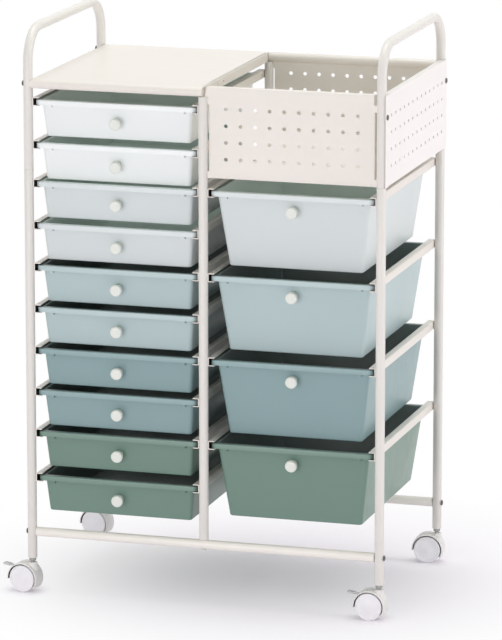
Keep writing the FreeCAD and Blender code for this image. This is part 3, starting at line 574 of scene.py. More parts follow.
class CART_OT_rails(bpy.types.Operator):
    """Build the bottom rails and the rail over the basket's back"""

    bl_idname = "cart.rails"
    bl_label = "Rails"

    def execute(self, context):
        sizes = context.scene.cart_sizes
        reach = TUBE_RADIUS + sizes.seam
        for node, y in (("bottom_front_rail", FRONT_Y), ("bottom_back_rail", BACK_Y)):
            left = Vector((LEFT_X + reach, y, RAIL_Z))
            bm = straight_tube(left, RIGHT * (RIGHT_X - reach - left.x), [sizes.tube_edge] * 2)
            # The bottom rails take the lighter rail paint, which is painted light.
            add_piece(bm, node, "frame_paint", paint(context, "rail"))
        bm = bmesh.new()
        left = Vector((MID_X + sizes.seam, BACK_Y, ROLL_Z))
        right = Vector((RIGHT_X, BACK_Y, ROLL_Z))
        start = ring(bm, left, RIGHT)
        far = pull(bm, start, right - left)
        close_end(bm, start, sizes.tube_edge)
        cope_end(bm, far, X, right, -reach)
        add_piece(bm, "top_back_rail", "frame_paint", paint(context))
        return {"FINISHED"}


def dividing_lines(marks, end):
    """Lines halfway between marks, with the sheet's two edges."""
    return [0, *((first + second) / 2 for first, second in zip(marks, marks[1:])), end]


def perforated(bm, corner, across, up, size, columns, rows, radius):
    """Flat sheet with a grid of round holes, from its low corner. Returns its faces."""
    old = set(bm.faces)
    made = bmesh.ops.create_grid(bm, x_segments=len(columns), y_segments=len(rows), size=0.5)
    cells = fresh(bm.faces, old)
    holes = {}
    for cell in cells:
        place = cell.calc_center_median()
        column, row = int((place.x + 0.5) * len(columns)), int((place.y + 0.5) * len(rows))
        holes[cell] = corner + across * columns[column] + up * rows[row]
    lines_across, lines_up = dividing_lines(columns, size[0]), dividing_lines(rows, size[1])
    for vert in made["verts"]:
        column, row = round((vert.co.x + 0.5) * len(columns)), round((vert.co.y + 0.5) * len(rows))
        vert.co = corner + across * lines_across[column] + up * lines_up[row]
    bmesh.ops.inset_individual(bm, faces=cells, thickness=radius / 2)
    sides = list({edge for cell in cells for edge in cell.edges})
    bmesh.ops.bisect_edges(bm, edges=sides, cuts=HOLE_CUTS)
    for cell, hole in holes.items():
        offsets = [vert.co - cell.calc_center_bounds() for vert in cell.verts]
        half_across = max(offset.dot(across) for offset in offsets)
        half_up = max(offset.dot(up) for offset in offsets)
        for vert, offset in zip(cell.verts[:], offsets):
            toward = across * (offset.dot(across) / half_across) + up * (offset.dot(up) / half_up)
            vert.co = hole + toward.normalized() * radius
    bmesh.ops.delete(bm, geom=cells, context="FACES_ONLY")
    return fresh(bm.faces, old)


def within(axis, low, high):
    """Test of whether an edge lies between two values along an axis."""
    return lambda edge: all(low - MERGE < vert.co[axis] < high + MERGE for vert in edge.verts)


def border(bm, direction, value, keep=lambda edge: True):
    """Open edges of a sheet that lie at a value along a direction."""
    return [
        edge for edge in bm.edges
        if edge.is_boundary and keep(edge)
        and all(abs(vert.co.dot(direction) - value) < MERGE for vert in edge.verts)
    ]


def fold(bm, edges, along, inward, radius, reach):
    """Folds a sheet's edge over to one side."""
    centre = edges[0].verts[0].co + inward * radius
    run = bend(bm, edges, centre, along.cross(inward), math.pi / 2, FOLD_STEPS)
    return pull(bm, run, inward * (reach - radius))


def split_sheet(bm, place, direction):
    """Cuts new edges across a mesh, square to a direction."""
    bmesh.ops.bisect_plane(bm, geom=bm.verts[:] + bm.edges[:] + bm.faces[:], dist=MERGE,
                           plane_co=place, plane_no=direction)


def split_at_posts(bm, gap):
    """Cuts a sheet beside the posts and returns the test for edges between the cuts."""
    inner = BACK_Y - TUBE_RADIUS - gap
    for y in (-inner, inner):
        split_sheet(bm, (0, y, 0), BACK)
    return within(Y, -inner, inner)


def add_block(bm, low, high):
    """Plain block between two corners."""
    size = high - low
    place = Matrix.Translation((low + high) / 2) @ Matrix.Diagonal((*size, 1))
    bmesh.ops.create_cube(bm, size=1, matrix=place)


class CART_OT_top_shelf(bpy.types.Operator):
    """Build the sheet shelf with its rolled and folded edges"""

    bl_idname = "cart.top_shelf"
    bl_label = "Top shelf"

    def execute(self, context):
        sizes = context.scene.cart_sizes
        bm = bmesh.new()
        self.rolled_sheet(bm, sizes)
        self.right_fold(bm, sizes)
        self.roll_plugs(bm, sizes)
        add_piece(bm, "top_shelf", "frame_paint", paint(context))
        return {"FINISHED"}

    def rolled_sheet(self, bm, sizes):
        """Flat of the shelf, with the rolls at front and back and the fold at the left."""
        left = LEFT_X + TUBE_RADIUS + sizes.seam
        right = MID_X - sizes.seam
        front, back = (bm.verts.new((left, y, SHELF_TOP)) for y in (FRONT_Y, BACK_Y))
        bm.edges.new((front, back))
        for vert, y, turn in ((front, FRONT_Y, 1), (back, BACK_Y, -1)):
            bmesh.ops.spin(bm, geom=[vert], cent=(left, y, ROLL_Z), axis=RIGHT,
                           angle=turn * ROLL_TURN, steps=2 * BEND_STEPS, use_duplicate=False)
        ends = bm.verts[:]
        pull(bm, bm.edges[:], RIGHT * (right - left))
        for vert in ends:
            off = min(abs(vert.co.y - FRONT_Y), abs(vert.co.y - BACK_Y))
            if off <= TUBE_RADIUS:
                vert.co.x = LEFT_X + math.sqrt((TUBE_RADIUS + sizes.seam) ** 2 - off ** 2)
        between = split_at_posts(bm, sizes.sheet)
        flat = lambda edge: between(edge) and all(vert.co.z > ROLL_Z for vert in edge.verts)
        fold(bm, border(bm, RIGHT, left, flat), -RIGHT, -UP, sizes.sheet_bend, sizes.shelf_lip)
        thicken(bm, bm.faces[:], sizes.sheet, UP)

    def roll_plugs(self, bm, sizes):
        """Discs that close the right ends of the rolls."""
        radius = TUBE_RADIUS - sizes.sheet / 2
        for y in (FRONT_Y, BACK_Y):
            seat = Vector((MID_X - sizes.seam - sizes.sheet, y, ROLL_Z))
            lathe(bm, cylinder(radius, 0, sizes.sheet), axis_place(seat, RIGHT))

    def right_fold(self, bm, sizes):
        """Turned down strip at the shelf's right edge, with two small holes."""
        low = span("top_shelf", Z)[0]
        inner = BACK_Y - TUBE_RADIUS - sizes.sheet
        corner = Vector((MID_X, -inner, low))
        first = FRONT_Y + sizes.lip_hole_front - corner.y
        height = SHELF_TOP - low - sizes.sheet_bend
        columns = (first, first + sizes.lip_hole_step)
        faces = perforated(bm, corner, BACK, UP, (2 * inner, height), columns, (ROLL_Z - low,),
                           sizes.lip_hole / 2)
        old = set(bm.faces)
        top = border(bm, UP, low + height)
        fold(bm, top, UP, -RIGHT, sizes.sheet_bend, 2 * sizes.sheet_bend)
        thicken(bm, faces + fresh(bm.faces, old), sizes.sheet, RIGHT)


def even_marks(first, last, count):
    """Evenly spaced marks from the first to the last."""
    return [first + (last - first) * number / (count - 1) for number in range(count)]


class CART_OT_basket(bpy.types.Operator):
    """Build the perforated sheets of the basket"""

    bl_idname = "cart.basket"
    bl_label = "Basket"

    columns = 10
    side_columns = 13
    rows = 4

    def execute(self, context):
        sizes = context.scene.cart_sizes
        for build in (self.front_panel, self.back_panel, self.side_panel, self.floor):
            bm = bmesh.new()
            node = build(bm, sizes)
            # The side panel takes the whiter side paint, which is painted light.
            part = "side" if build == self.side_panel else "sheet"
            add_piece(bm, node, "frame_paint", paint(context, part))
        return {"FINISHED"}

    def wall(self, bm, sizes, corner, across, size, inset, count):
        """Perforated wall from its low corner, with the hole rows that all walls share."""
        columns = even_marks(inset, size[0] - inset, count)
        low, high = span("basket_side_panel", Z)
        rows = even_marks(sizes.hole_first, high - low - sizes.hole_last, self.rows)
        rows = [height - sizes.sheet_bend for height in rows]
        perforated(bm, corner, across, UP, size, columns, rows, sizes.hole / 2)

    def add_tabs(self, bm, sizes, y, left, right):
        """Small tabs that bridge the slits between a panel's edges and its posts."""
        half = sizes.sheet / 2
        low = span("basket_front_panel", Z)[0]
        for near, far in ((MID_X + TUBE_RADIUS, left), (right, RIGHT_X - TUBE_RADIUS)):
            for bottom in (low, MID_TOP - sizes.panel_tab):
                add_block(bm, Vector((near, y - half, bottom)),
                          Vector((far, y + half, bottom + sizes.panel_tab)))

    def panel_edges(self, sizes):
        """Left and right edges of the front and back panels, without tabs and ears."""
        return span("basket_floor", X)[0], RIGHT_X - TUBE_RADIUS - sizes.panel_slit

    def front_panel(self, bm, sizes):
        """Front wall: folds at top and bottom, and an ear over the middle post."""
        node = "basket_front_panel"
        low, high = span(node, Z)
        left, right = self.panel_edges(sizes)
        face = FRONT_Y - sizes.sheet / 2
        top = high - sizes.sheet_bend
        base = low + sizes.sheet_bend
        left, right = left + sizes.sheet_bend, right - sizes.sheet_bend
        self.wall(bm, sizes, Vector((left, face, base)), RIGHT, (right - left, top - base),
                  sizes.hole_inset - sizes.sheet_bend, self.columns)
        above = MID_TOP + sizes.seam
        fold_low, fold_high = low + sizes.panel_tab, MID_TOP - sizes.panel_tab
        for z in (above, fold_low, fold_high):
            split_sheet(bm, (0, 0, z), UP)
        beside = within(Z, fold_low, fold_high)
        sides = [(border(bm, RIGHT, x, beside), along)
                 for x, along in ((left, -RIGHT), (right, RIGHT))]
        ear = border(bm, RIGHT, left, within(Z, above, high))
        for vert in corners_of(pull(bm, ear, RIGHT * (span(node, X)[0] - left))):
            vert.co.x += (vert.co.z - above) * EAR_SLOPE
        fold(bm, border(bm, UP, top), UP, BACK, sizes.sheet_bend, sizes.panel_fold)
        fold(bm, border(bm, UP, base), -UP, BACK, sizes.sheet_bend, sizes.panel_fold)
        for edges, along in sides:
            fold(bm, edges, along, BACK, sizes.sheet_bend, sizes.panel_fold)
        thicken(bm, bm.faces[:], sizes.sheet, -BACK)
        self.add_tabs(bm, sizes, FRONT_Y, left, right)
        return node

    def back_panel(self, bm, sizes):
        """Back wall under the top rail, with a fold that carries the floor."""
        node = "basket_back_panel"
        low, high = span(node, Z)
        left, right = self.panel_edges(sizes)
        face = BACK_Y + sizes.sheet / 2
        base = low + sizes.sheet_bend
        self.wall(bm, sizes, Vector((right, face, base)), -RIGHT, (right - left, high - base),
                  sizes.hole_inset, self.columns)
        fold(bm, border(bm, UP, base), -UP, -BACK, sizes.sheet_bend, sizes.panel_fold)
        thicken(bm, bm.faces[:], sizes.sheet, BACK)
        self.add_tabs(bm, sizes, BACK_Y, left, right)
        return node

    def side_panel(self, bm, sizes):
        """Wall outside the right posts, folded inwards between them."""
        node = "basket_side_panel"
        low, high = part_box(node)
        base, top = low.z + sizes.sheet_bend, high.z - sizes.sheet_bend
        self.wall(bm, sizes, Vector((high.x, low.y, base)), BACK, (high.y - low.y, top - base),
                  sizes.hole_inset_side, self.side_columns)
        between = split_at_posts(bm, 2 * sizes.sheet)
        beside = lambda edge: not between(edge)
        for value, along in ((top, UP), (base, -UP)):
            edges = border(bm, UP, value, between)
            fold(bm, edges, along, -RIGHT, sizes.sheet_bend, sizes.panel_fold)
            pull(bm, border(bm, UP, value, beside), along * sizes.sheet_bend)
        thicken(bm, bm.faces[:], sizes.sheet, RIGHT)
        return node

    def floor(self, bm, sizes):
        """Floor that lies on the folds of the walls."""
        node = "basket_floor"
        low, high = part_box(node)
        left, right = self.panel_edges(sizes)
        depth = high.y - low.y
        side = span("basket_side_panel", Y)[0]
        columns = even_marks(sizes.hole_inset, right - left - sizes.hole_inset, self.columns)
        first = side + sizes.hole_inset_side - low.y
        rows = even_marks(first, depth - first, self.side_columns)
        corner = Vector((left, low.y, high.z))
        perforated(bm, corner, RIGHT, BACK, (right - left, depth), columns, rows, sizes.hole / 2)
        wing = border(bm, RIGHT, right, split_at_posts(bm, 2 * sizes.sheet))
        pull(bm, wing, RIGHT * (high.x - right))
        thicken(bm, bm.faces[:], sizes.sheet, UP)
        return node


class CART_OT_runners(bpy.types.Operator):
    """Build the channels that the drawers hang in"""

    bl_idname = "cart.runners"
    bl_label = "Runners"

    def execute(self, context):
        sizes = context.scene.cart_sizes
        sides = (
            ("left_runners", 1, SMALL_DRAWERS),
            ("mid_left_runners", -1, SMALL_DRAWERS),
            ("mid_right_runners", 1, LARGE_DRAWERS),
            ("right_runners", -1, LARGE_DRAWERS),
        )
        # Painted shade for the channels' inner faces.
        liner = finish_material("runner", "runner_liner", context.scene.cart_colours.liner)
        for node, facing, drawers in sides:
            low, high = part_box(node)
            rims = [span(drawer, Z)[1] for drawer in drawers]
            height = high.z - low.z - (max(rims) - min(rims))
            bm = bmesh.new()
            for rim in rims:
                self.channel(bm, sizes, (low, high), facing, rim - min(rims) + low.z, height)
            add_piece(bm, node, "frame_paint", paint(context), liner)
        return {"FINISHED"}

    def channel(self, bm, sizes, box, facing, base, height):
        """One channel, open towards its drawers."""
        low, high = box
        web, tip = (low.x, high.x) if facing > 0 else (high.x, low.x)
        bend_radius = sizes.runner_bend
        middle_x = web + facing * bend_radius
        top = base + height
        profile = [(tip, base), *arc((0, base + bend_radius), bend_radius, 270, 180),
                   *arc((0, top - bend_radius), bend_radius, 180, 90), (tip, top)]
        points = [(x if x == tip else middle_x + facing * x, z) for x, z in profile]
        old = set(bm.faces)
        verts = [bm.verts.new((x, low.y, z)) for x, z in points]
        edges = [bm.edges.new(pair) for pair in zip(verts, verts[1:])]
        pull(bm, edges, BACK * (high.y - low.y))
        thicken(bm, fresh(bm.faces, old), sizes.runner_wall, -RIGHT * facing)
        bm.normal_update()
        room = Vector((tip, (low.y + high.y) / 2, base + height / 2))
        # Inner faces of the channel, apart from its open edge, take the painted shade.
        for face in fresh(bm.faces, old):
            if face.normal.y ** 2 < MERGE:
                place = face.calc_center_median()
                inner = (room - place) * Vector((1, 0, 1))
                face.material_index = int(face.normal.dot(inner) > 0 and abs(place.x - tip) > MERGE)


class CART_OT_frame_bolts(bpy.types.Operator):
    """Build the round bolt heads of the frame"""

    bl_idname = "cart.frame_bolts"
    bl_label = "Frame bolts"

    def execute(self, context):
        sizes = context.scene.cart_sizes
        radius, height = sizes.bolt_head / 2, sizes.bolt_height
        socket, socket_low, socket_high = 0.42 * radius, 0.4 * height, 0.95 * height
        crown = 0.6 * height
        profile = [(0, socket_low), (socket, socket_low), (socket, socket_high),
                   *arc((radius - crown, crown / 2), crown, 80, 0), (radius, 0), (0, 0)]
        bm = bmesh.new()
        side_x = span("basket_side_panel", X)[1]
        side_z = span("basket_side_panel", Z)[1] - sizes.hole_last
        for y in (FRONT_Y, BACK_Y):
            seats = (
                (Vector((LEFT_X - TUBE_RADIUS, y, RAIL_Z)), -RIGHT),
                (Vector((RIGHT_X + TUBE_RADIUS, y, RAIL_Z)), RIGHT),
                (Vector((LEFT_X - TUBE_RADIUS, y, ROLL_Z)), -RIGHT),
                (Vector((side_x, y, side_z)), RIGHT),
                (Vector((MID_X, y, RAIL_Z - TUBE_RADIUS)), -UP),
            )
            for seat, outward in seats:
                old = set(bm.faces)
                lathe(bm, profile, axis_place(seat, outward))
                for face in fresh(bm.faces, old):
                    face.material_index = int(outward == -UP)
        base = context.scene.cart_colours.bolt
        steel = finish_material("zinc", "bolt_steel", base, DULL_ZINC)
        add_piece(bm, "frame_bolts", "bolt_steel", steel, paint(context, "tube"))
        return {"FINISHED"}


def rounded_loop(bm, size_x, size_y, corner, at):
    """Rounded rectangle as one face and its edges."""
    place = Matrix.Translation(at) @ Matrix.Diagonal((size_x, size_y, 1, 1))
    old = set(bm.faces)
    verts = bmesh.ops.create_grid(bm, x_segments=1, y_segments=1, size=0.5, matrix=place)["verts"]
    round_off(bm, verts, corner, CORNER_STEPS, "VERTICES")
    face = fresh(bm.faces, old)[0]
    return face, face.edges[:]


def drawer_sections(sizes, height, draft):
    """Outlines of a drawer from its outer floor over the rim to its inner floor.

    Each is (side inset, end inset, corner radius, depth below the rim, inner wall).
    """
    slope = math.tan(draft)

    def body(depth, wall, inset, inner):
        step = wall + depth * slope + inset
        corner = sizes.corner - wall - inset
        return sizes.ledge_side + step, sizes.ledge_end + step, corner, depth, inner

    def rim(inset, depth):
        return inset, inset, sizes.rim_corner - inset, depth, False

    outer_foot = [body(height - sizes.foot + rise, 0, sizes.foot - away, False)
                  for away, rise in reversed(arc((0, 0), sizes.foot, 0, 90))]
    round_out = [rim(sizes.rim_edge - away, sizes.rim_edge - rise)
                 for away, rise in arc((0, 0), sizes.rim_edge, 0, 90)]
    edge = sizes.mouth_edge
    mouth = [body(edge - rise, sizes.wall, away - edge, True)
             for away, rise in reversed(arc((0, 0), edge, 0, 90))]
    inner_height, inner_foot = height - sizes.wall, sizes.foot - sizes.wall
    inner = [body(inner_height - inner_foot + rise, sizes.wall, inner_foot - away, True)
             for away, rise in arc((0, 0), inner_foot, 0, 90)]
    return [
        *outer_foot,
        body(sizes.rim_wall, 0, 0, False),
        rim(sizes.rim_wall, sizes.rim_wall),
        rim(sizes.rim_wall, sizes.lip),
        rim(0, sizes.lip),
        *round_out,
        *mouth,
        *inner,
    ]


class CART_OT_drawers(bpy.types.Operator):
    """Build the small and large moulded drawers"""

    bl_idname = "cart.drawers"
    bl_label = "Drawers"

    def execute(self, context):
        sizes = context.scene.drawer_sizes
        colours = context.scene.cart_colours
        painted_inside_shadings = {shade: drawer_painted_inside_shading(colours, shade) for shade in ("pale", "deep")}
        plastics = {}
        for tint in TINTS:
            base = getattr(colours, f"drawer_{tint}")
            plastics[tint] = finish_material("drawer", f"drawer_plastic_{tint}", base)
        for node in SMALL_DRAWERS + LARGE_DRAWERS:
            low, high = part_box(node)
            bm = bmesh.new()
            self.nubs(bm, sizes, low, high)
            self.mould(bm, sizes, low, high, getattr(sizes, f"{node.split('_')[0]}_draft"))
            tint = tint_of(node)
            # Each drawer's inside takes painted shade for the deep tints and a painted glow for the
            # pale tints.
            lining = painted_inside_shadings["pale" if tint in PALE_TINTS else "deep"]
            add_piece(bm, node, f"drawer_{tint}", plastics[tint], lining)
        return {"FINISHED"}

    def nubs(self, bm, sizes, low, high):
        """Two small ribs that brace the front lip."""
        top = high.z - sizes.rim_wall
        front, back = low.y + sizes.rim_wall + sizes.nub_back, low.y + sizes.ledge_end + sizes.wall
        for left in (low.x + sizes.nub_inset, high.x - sizes.nub_inset - sizes.nub_width):
            add_block(bm, Vector((left, front, high.z - sizes.lip - sizes.nub_drop)),
                      Vector((left + sizes.nub_width, back, top)))
        edges = [edge for edge in bm.edges if all(vert.co.y < back - MERGE for vert in edge.verts)]
        round_off(bm, edges, sizes.nub_width / 4, EDGE_STEPS)

    def mould(self, bm, sizes, low, high, draft):
        """One drawer as a closed skin, lofted through its outlines."""
        width, depth = high.x - low.x, high.y - low.y
        centre = (low + high) / 2
        last = None
        sections = drawer_sections(sizes, high.z - low.z, draft)
        for number, (side, end, corner, drop, inner) in enumerate(sections):
            at = Vector((centre.x, centre.y, high.z - drop))
            face, edges = rounded_loop(bm, width - 2 * side, depth - 2 * end, corner, at)
            if last:
                skin = bmesh.ops.bridge_loops(bm, edges=last + edges)["faces"]
                # Inner walls, and the rim's top beside the runners, take the painted inside
                # shading; on the side ledges it is painted shade for the dark band under the
                # runners' upper flanges.
                mouth_side = width / 2 - sizes.ledge_side - sizes.wall
                for part in skin:
                    ledge = abs(part.calc_center_median().x - centre.x) > mouth_side and drop == 0
                    part.material_index = int(inner or ledge)
            if number == len(sections) - 1:
                face.material_index = 1
            elif number:
                bmesh.ops.delete(bm, geom=[face], context="FACES_ONLY")
            last = edges


class CART_OT_knobs(bpy.types.Operator):
    """Build the drawer knobs and the screws that hold them"""

    bl_idname = "cart.knobs"
    bl_label = "Knobs"

    def execute(self, context):
        sizes = context.scene.drawer_sizes
        colours = context.scene.cart_colours
        plastic = finish_material("knob", "knob_plastic", colours.knob)
        # The screws take the frame's own bolt steel where the frame brings it.
        steel = shared("bolt_steel", lambda: finish_material("zinc", "bolt_steel", colours.bolt, 1))
        for drawer in SMALL_DRAWERS + LARGE_DRAWERS:
            kind = drawer.split("_")[0]
            drop = getattr(sizes, f"{kind}_knob_drop")
            low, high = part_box(drawer)
            draft = getattr(sizes, f"{kind}_draft")
            front = low.y + sizes.ledge_end + drop * math.tan(draft)
            seat = Vector(((low.x + high.x) / 2, front, high.z - drop))
            outward = Vector((0, -math.cos(draft), -math.sin(draft)))
            bm = bmesh.new()
            lathe(bm, self.knob_profile(sizes), axis_place(seat, outward))
            knob_faces = len(bm.faces)
            lathe(bm, self.screw_profile(sizes), axis_place(seat - outward * sizes.wall, -outward))
            bm.faces.ensure_lookup_table()
            for face in bm.faces[knob_faces:]:
                face.material_index = 1
            add_piece(bm, drawer.replace("drawer", "knob"), "knob_plastic", plastic, steel)
        return {"FINISHED"}

    def knob_profile(self, sizes):
        """Waisted neck and a rounded head."""
        head, rounding = sizes.knob / 2, sizes.knob_round
        base, waist, neck = sizes.neck_base / 2, sizes.neck_top / 2, sizes.knob_neck
        foot, top = 0.1 * neck, neck + sizes.knob_head
        hollow = base - waist
        return [
            (0, 0), (base, 0), (base, foot),
            *arc((base, neck - hollow), hollow, 270, 180)[1:], (waist, neck),
            *arc((head - rounding / 2, neck + rounding / 2), rounding / 2, 270, 360),
            *arc((head - rounding, top - rounding), rounding, 0, 90),
            (head / 2, top), (0, top),
        ]

    def screw_profile(self, sizes):
        """Domed screw head with a small recess."""
        radius, height = sizes.screw_head / 2, sizes.screw_height
        return [(0, 0), (radius, 0), *arc((radius - height, 0), height, 20, 80),
                (radius / 3, height), (radius / 3, height / 2), (0, height / 2)]


class Caster:
    """Place of one caster, from its joints."""

    def __init__(self, corner):
        self.stem = Vector(JOINTS[f"{corner}_caster_swivel"]["pos_m"])
        self.stem.z = 0
        spin = JOINTS[f"{corner}_wheels_spin"]
        axle = Vector(spin["pos_m"]) - self.stem
        self.radius = axle.z
        self.trail = axle.xy.length
        turn = math.atan2(-axle.y, -axle.x)
        self.place = Matrix.Translation(self.stem) @ Matrix.Rotation(turn, 4, "Z")
        self.axle = Vector((-self.trail, 0, self.radius))
        self.pivot = None
        if corner in BRAKED:
            self.pivot = self.place.inverted() @ Vector(JOINTS[f"{corner}_brake_tip"]["pos_m"])

    def hood_top(self, sizes):
        """Outer radius of the hood round the axle."""
        return self.radius + sizes.hood_gap + sizes.hood_wall

    def boss_top(self, sizes):
        """Top of the hood's boss above the floor."""
        return self.radius + self.hood_top(sizes) + sizes.boss_rise


class CART_OT_caster_stems(bpy.types.Operator):
    """Build the steel stems between posts and casters"""

    bl_idname = "cart.caster_stems"
    bl_label = "Caster stems"

    def execute(self, context):
        sizes = context.scene.caster_sizes
        edge = 0.15 * sizes.collar_height
        bm = bmesh.new()
        for corner in CORNERS:
            caster = Caster(corner)
            collar, pin = sizes.collar / 2, sizes.pin / 2
            top, low = FOOT_Z, FOOT_Z - sizes.collar_height
            profile = [(0, caster.radius), (pin, caster.radius), (pin, low), (collar - edge, low),
                       (collar, low + edge), (collar, top - edge), (collar - edge, top), (0, top)]
            lathe(bm, profile, Matrix.Translation(caster.stem))
        steel = finish_material("zinc", "stem_steel", context.scene.cart_colours.stem, metal=1)
        add_piece(bm, "caster_stems", "stem_steel", steel)
        return {"FINISHED"}


def cut_away(bm, cutter):
    """Takes one closed mesh out of another with a Boolean and returns what is left."""
    made = []
    for name, source in (("blank", bm), ("cutter", cutter)):
        bmesh.ops.recalc_face_normals(source, faces=source.faces[:])
        mesh = bpy.data.meshes.new(name)
        source.to_mesh(mesh)
        source.free()
        made.append(bpy.data.objects.new(name, mesh))
        bpy.context.scene.collection.objects.link(made[-1])
    modifier = made[0].modifiers.new("cut", "BOOLEAN")
    modifier.operation = "DIFFERENCE"
    modifier.solver = "EXACT"
    modifier.object = made[1]
    left = bmesh.new()
    left.from_object(made[0], bpy.context.evaluated_depsgraph_get())
    for piece in made:
        mesh = piece.data
        bpy.data.objects.remove(piece)
        bpy.data.meshes.remove(mesh)
    return left


class CART_OT_caster_hoods(bpy.types.Operator):
    """Build the moulded caster hoods"""

    bl_idname = "cart.caster_hoods"
    bl_label = "Caster hoods"

    def execute(self, context):
        sizes = context.scene.caster_sizes
        colours = context.scene.cart_colours
        # The second material is the painted shade of the hood's inner face.
        plastics = [finish_material("nylon", f"{part}_plastic", getattr(colours, part))
                    for part in ("hood", "hood_inside")]
        for corner in CORNERS:
            caster = Caster(corner)
            bm = bmesh.new()
            self.shell(bm, sizes, caster)
            if caster.pivot:
                bm = self.slotted(bm, sizes, caster)
            inner = caster.hood_top(sizes) - sizes.hood_wall
            # Inner faces over the wheels take the painted shade.
            for face in bm.faces:
                away = face.calc_center_median() - caster.axle
                face.material_index = int(abs(away.y) > sizes.web / 2 and away.xz.length < inner)
            self.boss(bm, sizes, caster)
            bmesh.ops.transform(bm, matrix=caster.place, verts=bm.verts[:])
            add_piece(bm, f"{corner}_caster_hood", "caster_plastic", *plastics)
        return {"FINISHED"}

    def shell(self, bm, sizes, caster):
        """Hood over both wheels and the web between them, swept round the axle."""
        outer = caster.hood_top(sizes)
        inner = outer - sizes.hood_wall
        web = sizes.web / 2
        half = web + sizes.wheel_gap + sizes.wheel_width
        edge = sizes.hood_round
        profile = [(-half, inner), *arc((edge - half, outer - edge), edge, 180, 90),
                   *arc((half - edge, outer - edge), edge, 90, 0), (half, inner),
                   (web, inner), (web, sizes.axle / 2), (-web, sizes.axle / 2), (-web, inner)]
        verts = [bm.verts.new((caster.axle.x + radius, side, caster.axle.z))
                 for side, radius in profile]
        edges = [bm.edges.new(pair) for pair in zip(verts, verts[1:] + verts[:1])]
        turn = Matrix.Rotation(-sizes.hood_start, 3, "Y")
        bmesh.ops.rotate(bm, verts=verts, cent=caster.axle, matrix=turn)
        far = bend(bm, edges, caster.axle, BACK, -sizes.hood_arc, 2 * BEND_STEPS)
        for end in (edges, far):
            bmesh.ops.edgeloop_fill(bm, edges=end)

    def slotted(self, bm, sizes, caster):
        """Hood with the slot that the brake lever moves in."""
        room = sizes.lever_width + 2 * sizes.lever_play
        reach = 2 * caster.radius
        low = Vector((caster.axle.x - reach, -room / 2, caster.axle.z + sizes.slot_floor))
        high = Vector((caster.axle.x - sizes.hub / 4, room / 2, caster.axle.z + reach))
        cutter = bmesh.new()
        add_block(cutter, low, high)
        return cut_away(bm, cutter)

    def boss(self, bm, sizes, caster):
        """Flared boss round the stem."""
        radius, top = sizes.boss / 2, caster.boss_top(sizes)
        edge, straight = 0.1 * radius, 0.3 * sizes.boss_length
        low = top - sizes.boss_length
        profile = [(0, low), (radius + sizes.boss_flare, low), (radius, top - straight),
                   (radius, top - edge), (radius - edge, top), (0, top)]
        lathe(bm, profile, Matrix.Identity(4))


class CART_OT_caster_wheels(bpy.types.Operator):
    """Build the twin wheels and their axles"""

    bl_idname = "cart.caster_wheels"
    bl_label = "Caster wheels"

    def execute(self, context):
        sizes = context.scene.caster_sizes
        plastic = finish_material("nylon", "wheel_plastic", context.scene.cart_colours.wheel)
        for corner in CORNERS:
            caster = Caster(corner)
            bm = bmesh.new()
            inner = sizes.web / 2 + sizes.wheel_gap
            for outward in (-BACK, BACK):
                seat = axis_place(caster.axle + outward * inner, outward)
                lathe(bm, self.profile(sizes, caster.radius), seat)
            axle = cylinder(sizes.axle / 2 - MERGE, -inner, inner)
            lathe(bm, axle, axis_place(caster.axle, BACK))
            bmesh.ops.transform(bm, matrix=caster.place, verts=bm.verts[:])
            add_piece(bm, f"{corner}_caster_wheels", "wheel_plastic", plastic)
        return {"FINISHED"}

    def profile(self, sizes, radius):
        """Wheel from its inner face over the tread to a shallow dished outer face."""
        width, rounding = sizes.wheel_width, sizes.wheel_round
        step = 0.3 * rounding
        dish, cap = width - step, width - step / 2
        rim, rim_foot, cap_foot, cap_edge = (share * radius for share in (0.82, 0.79, 0.3, 0.27))
        return [
            (0, 0), (radius - rounding, 0),
            *arc((radius - rounding, rounding), rounding, 270, 360),
            *arc((radius - rounding, width - rounding), rounding, 0, 90),
            (rim, width), (rim_foot, dish), (cap_foot, dish), (cap_edge, cap), (0, cap),
        ]


class CART_OT_brake_levers(bpy.types.Operator):
    """Build the brake levers of the front casters"""

    bl_idname = "cart.brake_levers"
    bl_label = "Brake levers"

    def execute(self, context):
        sizes = context.scene.caster_sizes
        plastic = finish_material("nylon", "lever_plastic", context.scene.cart_colours.lever)
        for corner in BRAKED:
            caster = Caster(corner)
            bm = bmesh.new()
            self.arm(bm, sizes)
            half = sizes.lever_width / 2
            lathe(bm, cylinder(sizes.lever_hub / 2, -half, half), axis_place(Vector(), BACK))
            turn = Matrix.Rotation(sizes.lever_slope, 4, "Y")
            bmesh.ops.transform(bm, matrix=caster.place @ Matrix.Translation(caster.pivot) @ turn,
                                verts=bm.verts[:])
            add_piece(bm, f"{corner}_brake_lever", "caster_plastic", plastic)
        return {"FINISHED"}

    def arm(self, bm, sizes):
        """Arm that widens into a rounded paddle, pointing away from the web."""
        reach = sizes.paddle_start + sizes.paddle_length
        low = Vector((-reach, -sizes.lever_width / 2, -sizes.lever_wall / 2))
        add_block(bm, low, Vector((0, sizes.lever_width / 2, sizes.lever_wall / 2)))
        for place in (sizes.paddle_start - MM, sizes.paddle_start):
            split_sheet(bm, (-place, 0, 0), RIGHT)
        paddle = [vert for vert in bm.verts if vert.co.x < MERGE - sizes.paddle_start]
        bmesh.ops.scale(bm, verts=paddle, vec=(1, sizes.paddle_width / sizes.lever_width, 1))
        edges = [edge for edge in bm.edges if edge.calc_face_angle(0) > SHARP]
        rounding = 0.4 * sizes.lever_wall
        round_off(bm, edges, rounding, LEVER_STEPS)


